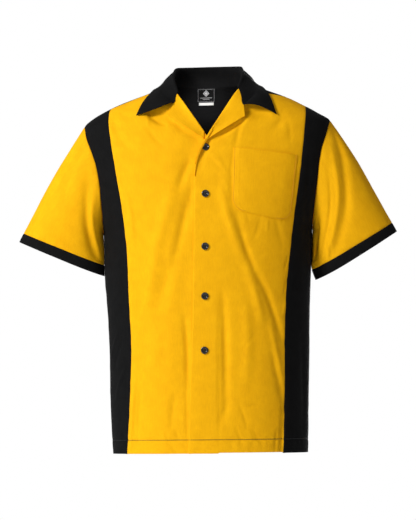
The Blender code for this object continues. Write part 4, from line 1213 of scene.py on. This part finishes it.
for number, button in enumerate(BUTTONS, start=1):
    angle, height = on_front(button.x, button.z)
    middle, outward = on_cloth(angle, height, np.full((), BUTTON_LIFT), front_rise)
    facing = Vector(outward).to_track_quat("Z", "Y").to_matrix().to_4x4()
    place = (Matrix.Translation(Vector(middle * MM)) @ facing
             @ Matrix.Rotation(math.radians(button.turn), 4, "Z"))
    for shape, name in ((button_mesh, f"sewn_button_{number}"), (sewing_mesh, f"button_sewing_{number}")):
        mesh = shape.copy()
        mesh.transform(place)
        piece = placed(mesh, name)
        if shape is button_mesh:
            on_shirt(piece, "button_plastic", f"button_{number}")
        else:
            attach(piece, "root")

# ---------------------------------------------------------------- neck label and size tab
# A woven black satin label with a plain border, a small diamond and two bars, and under it a white
# tab with nothing on it, both sewn flat inside the back's neck.
Patch = namedtuple("Patch", "name start end top foot")
LABEL_INSIDE, MOTIF_INSIDE = 1.3, 1.92   # how far inside the back's outer face the patches and motif lie
LABEL_THICKNESS = 0.5


def satin(name, colour, roughness):
    """Woven satin ribbon: close fine ribs across it, painted darker in their grooves as shade, and a soft
    gloss.
    """
    finish = new_finish(name, colour, Roughness=roughness, Specular_IOR_Level=0.15)
    plan = node(finish, "UVMap", "UV", {}, uv_map="UVMap")
    ribs = node(finish, "TexWave", "Fac", {"Vector": plan, "Scale": 900.0, "Distortion": 0.5},
                bands_direction="Y")
    bump = node(finish, "Bump", "Normal", {"Strength": 0.3, "Distance": 0.0001, "Height": ribs})
    # the grooves between the ribs take this darker colour: painted shade
    shadow = [0.85 * value for value in colour]
    shade(finish, {"Normal": bump, "Base Color": blend(finish, ribs, shadow, colour)})
    return finish


black_satin = satin("black_satin", (0.0045, 0.0045, 0.0048), 0.55)
white_satin = satin("white_satin", (0.80, 0.80, 0.78), 0.6)


def patch_points(start, end, foot, top, inside, columns, rows):
    """Grid inside the back between two distances from its middle and two heights."""
    heights = np.linspace(foot, top, rows)[:, None]
    angles = math.pi - angle_at(np.linspace(start, end, columns)[None, :], heights)
    levels = np.broadcast_to(heights, angles.shape)
    return on_cloth(angles, levels, np.full(angles.shape, -inside), back_rise)[0]


for patch, finish, slot, flat in (
        (Patch("neck_label", -23, 15, -1.0, -29.5), black_satin, "label_cloth",
         (0.038, 0.033, 0.00125)),
        (Patch("size_tab", -19, 12, -30.2, -35.8), white_satin, "tab_cloth",
         (0.031, 0.010, 0.00019))):
    points = patch_points(patch.start, patch.end, patch.foot, patch.top, LABEL_INSIDE, 20, 14)
    piece = cloth(f"{patch.name}_woven", points, flat_plan(points), finish, LABEL_THICKNESS)
    on_shirt(piece, slot, patch.name)

# what is woven into the label: bars (start, end, foot, top) and a diamond, paler than its ground
MOTIF = (
    (-21.2, 13.2, -2.6, -2.3), (-21.2, 13.2, -27.9, -27.6), (-21.2, -20.9, -27.6, -2.6),
    (12.9, 13.2, -27.6, -2.6), (-16.5, 8.5, -20.4, -19.6), (-11.0, 3.0, -23.2, -22.6),
)
pale_satin = satin("pale_satin", (0.60, 0.60, 0.61), 0.5)
bm = bmesh.new()


def woven(points):
    """Adds a small grid of the motif to its mesh."""
    rows, columns = points.shape[:2]
    verts = [bm.verts.new([float(value) * MM for value in point]) for point in points.reshape(-1, 3)]
    for row in range(rows - 1):
        for k in range(columns - 1):
            first = row * columns + k
            bm.faces.new([verts[i] for i in (first, first + 1, first + columns + 1, first + columns)])


for start, end, foot, top in MOTIF:
    woven(patch_points(start, end, foot, top, MOTIF_INSIDE, 12, 4))
half = np.linspace(0, 1, 6)
for edge_in, edge_out in ((0.0, 0.55), (0.72, 1.0)):
    for quarter_x, quarter_z in QUARTERS:
        ring_points = []
        for reach in (edge_in, edge_out):
            xs = -4 + quarter_x * 6.6 * reach * half
            zs = -10.6 + quarter_z * 6.8 * reach * (1 - half)
            angles = math.pi - angle_at(xs, zs)
            ring_points.append(on_cloth(angles, zs, np.full(6, -MOTIF_INSIDE), back_rise)[0])
        woven(np.array(ring_points if quarter_x * quarter_z > 0 else ring_points[::-1]))
bmesh.ops.remove_doubles(bm, verts=bm.verts[:], dist=0.000001)
motif = bpy.data.meshes.new("label_motif")
motif.uv_layers.new(name="UVMap")
bm.to_mesh(motif)
bm.free()
motif.materials.append(pale_satin)
piece = placed(motif, "label_motif")
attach(piece, "root")

# ---------------------------------------------------------------- stage, camera and light
# White surroundings: one soft lamp high in front on the left, a wide one behind, a narrow beam on
# the neck label, a pale floor that only sends light back up, and a backdrop only the camera sees.
white_floor = new_finish("white_floor", Base_Color=(0.88, 0.88, 0.88, 1), Roughness=0.9)
backdrop_white = new_finish("backdrop_white")
tree = backdrop_white.node_tree
tree.nodes.remove(tree.nodes["Principled BSDF"])
glow = node(backdrop_white, "Emission", "Emission", {"Strength": 1.0})
fill(tree.nodes["Material Output"], {"Surface": glow})

bm = bmesh.new()
bmesh.ops.create_circle(bm, cap_ends=True, segments=96, radius=3.0)
floor = placed(as_mesh(bm, "floor"), "floor")
floor.location.z = -1.45
bm = bmesh.new()
bmesh.ops.create_icosphere(bm, subdivisions=4, radius=14.0)
bmesh.ops.reverse_faces(bm, faces=bm.faces[:])
dome = placed(as_mesh(bm, "backdrop"), "backdrop")
floor.visible_camera = False
dome.visible_diffuse = dome.visible_glossy = dome.visible_transmission = dome.visible_shadow = False
for stage, finish in ((floor, white_floor), (dome, backdrop_white)):
    stage.data.materials.append(finish)

world = bpy.data.worlds.new("surroundings")
world.use_nodes = True
fill(world.node_tree.nodes["Background"], {"Color": (1, 1, 1, 1), "Strength": 0.30})
bpy.context.scene.world = world



def lamp(name, kind, at, towards, **settings):
    """A lamp at one place, turned towards another."""
    light = bpy.data.lights.new(name, kind)
    for key, value in settings.items():
        setattr(light, key, value)
    made = placed(light, name)
    made.location = at
    made.rotation_euler = (Vector(towards) - made.location).to_track_quat("-Z", "Y").to_euler()


MIDDLE = (0, -0.1, -0.38)
lamp("key", "AREA", (-3.4, -2.9, 1.7), MIDDLE, shape="DISK", size=1.3, energy=228)
lamp("rear", "AREA", (0.9, 4.4, -0.1), MIDDLE, shape="DISK", size=2.2, energy=180)
lamp("snoot", "SPOT", (0, -4.6, 0.3), (-0.004, 0.06, -0.030), energy=1200,
     spot_size=math.radians(1.5), spot_blend=1.0, shadow_soft_size=0.02)

lens = bpy.data.cameras.new("camera")
lens.lens = 166.42
lens.sensor_width = 36
camera = placed(lens, "camera")
camera.location = (0, -5, -0.364)
camera.rotation_euler = (QUARTER, 0, 0)
bpy.context.scene.camera = camera
bpy.context.scene.view_settings.view_transform = "Standard"
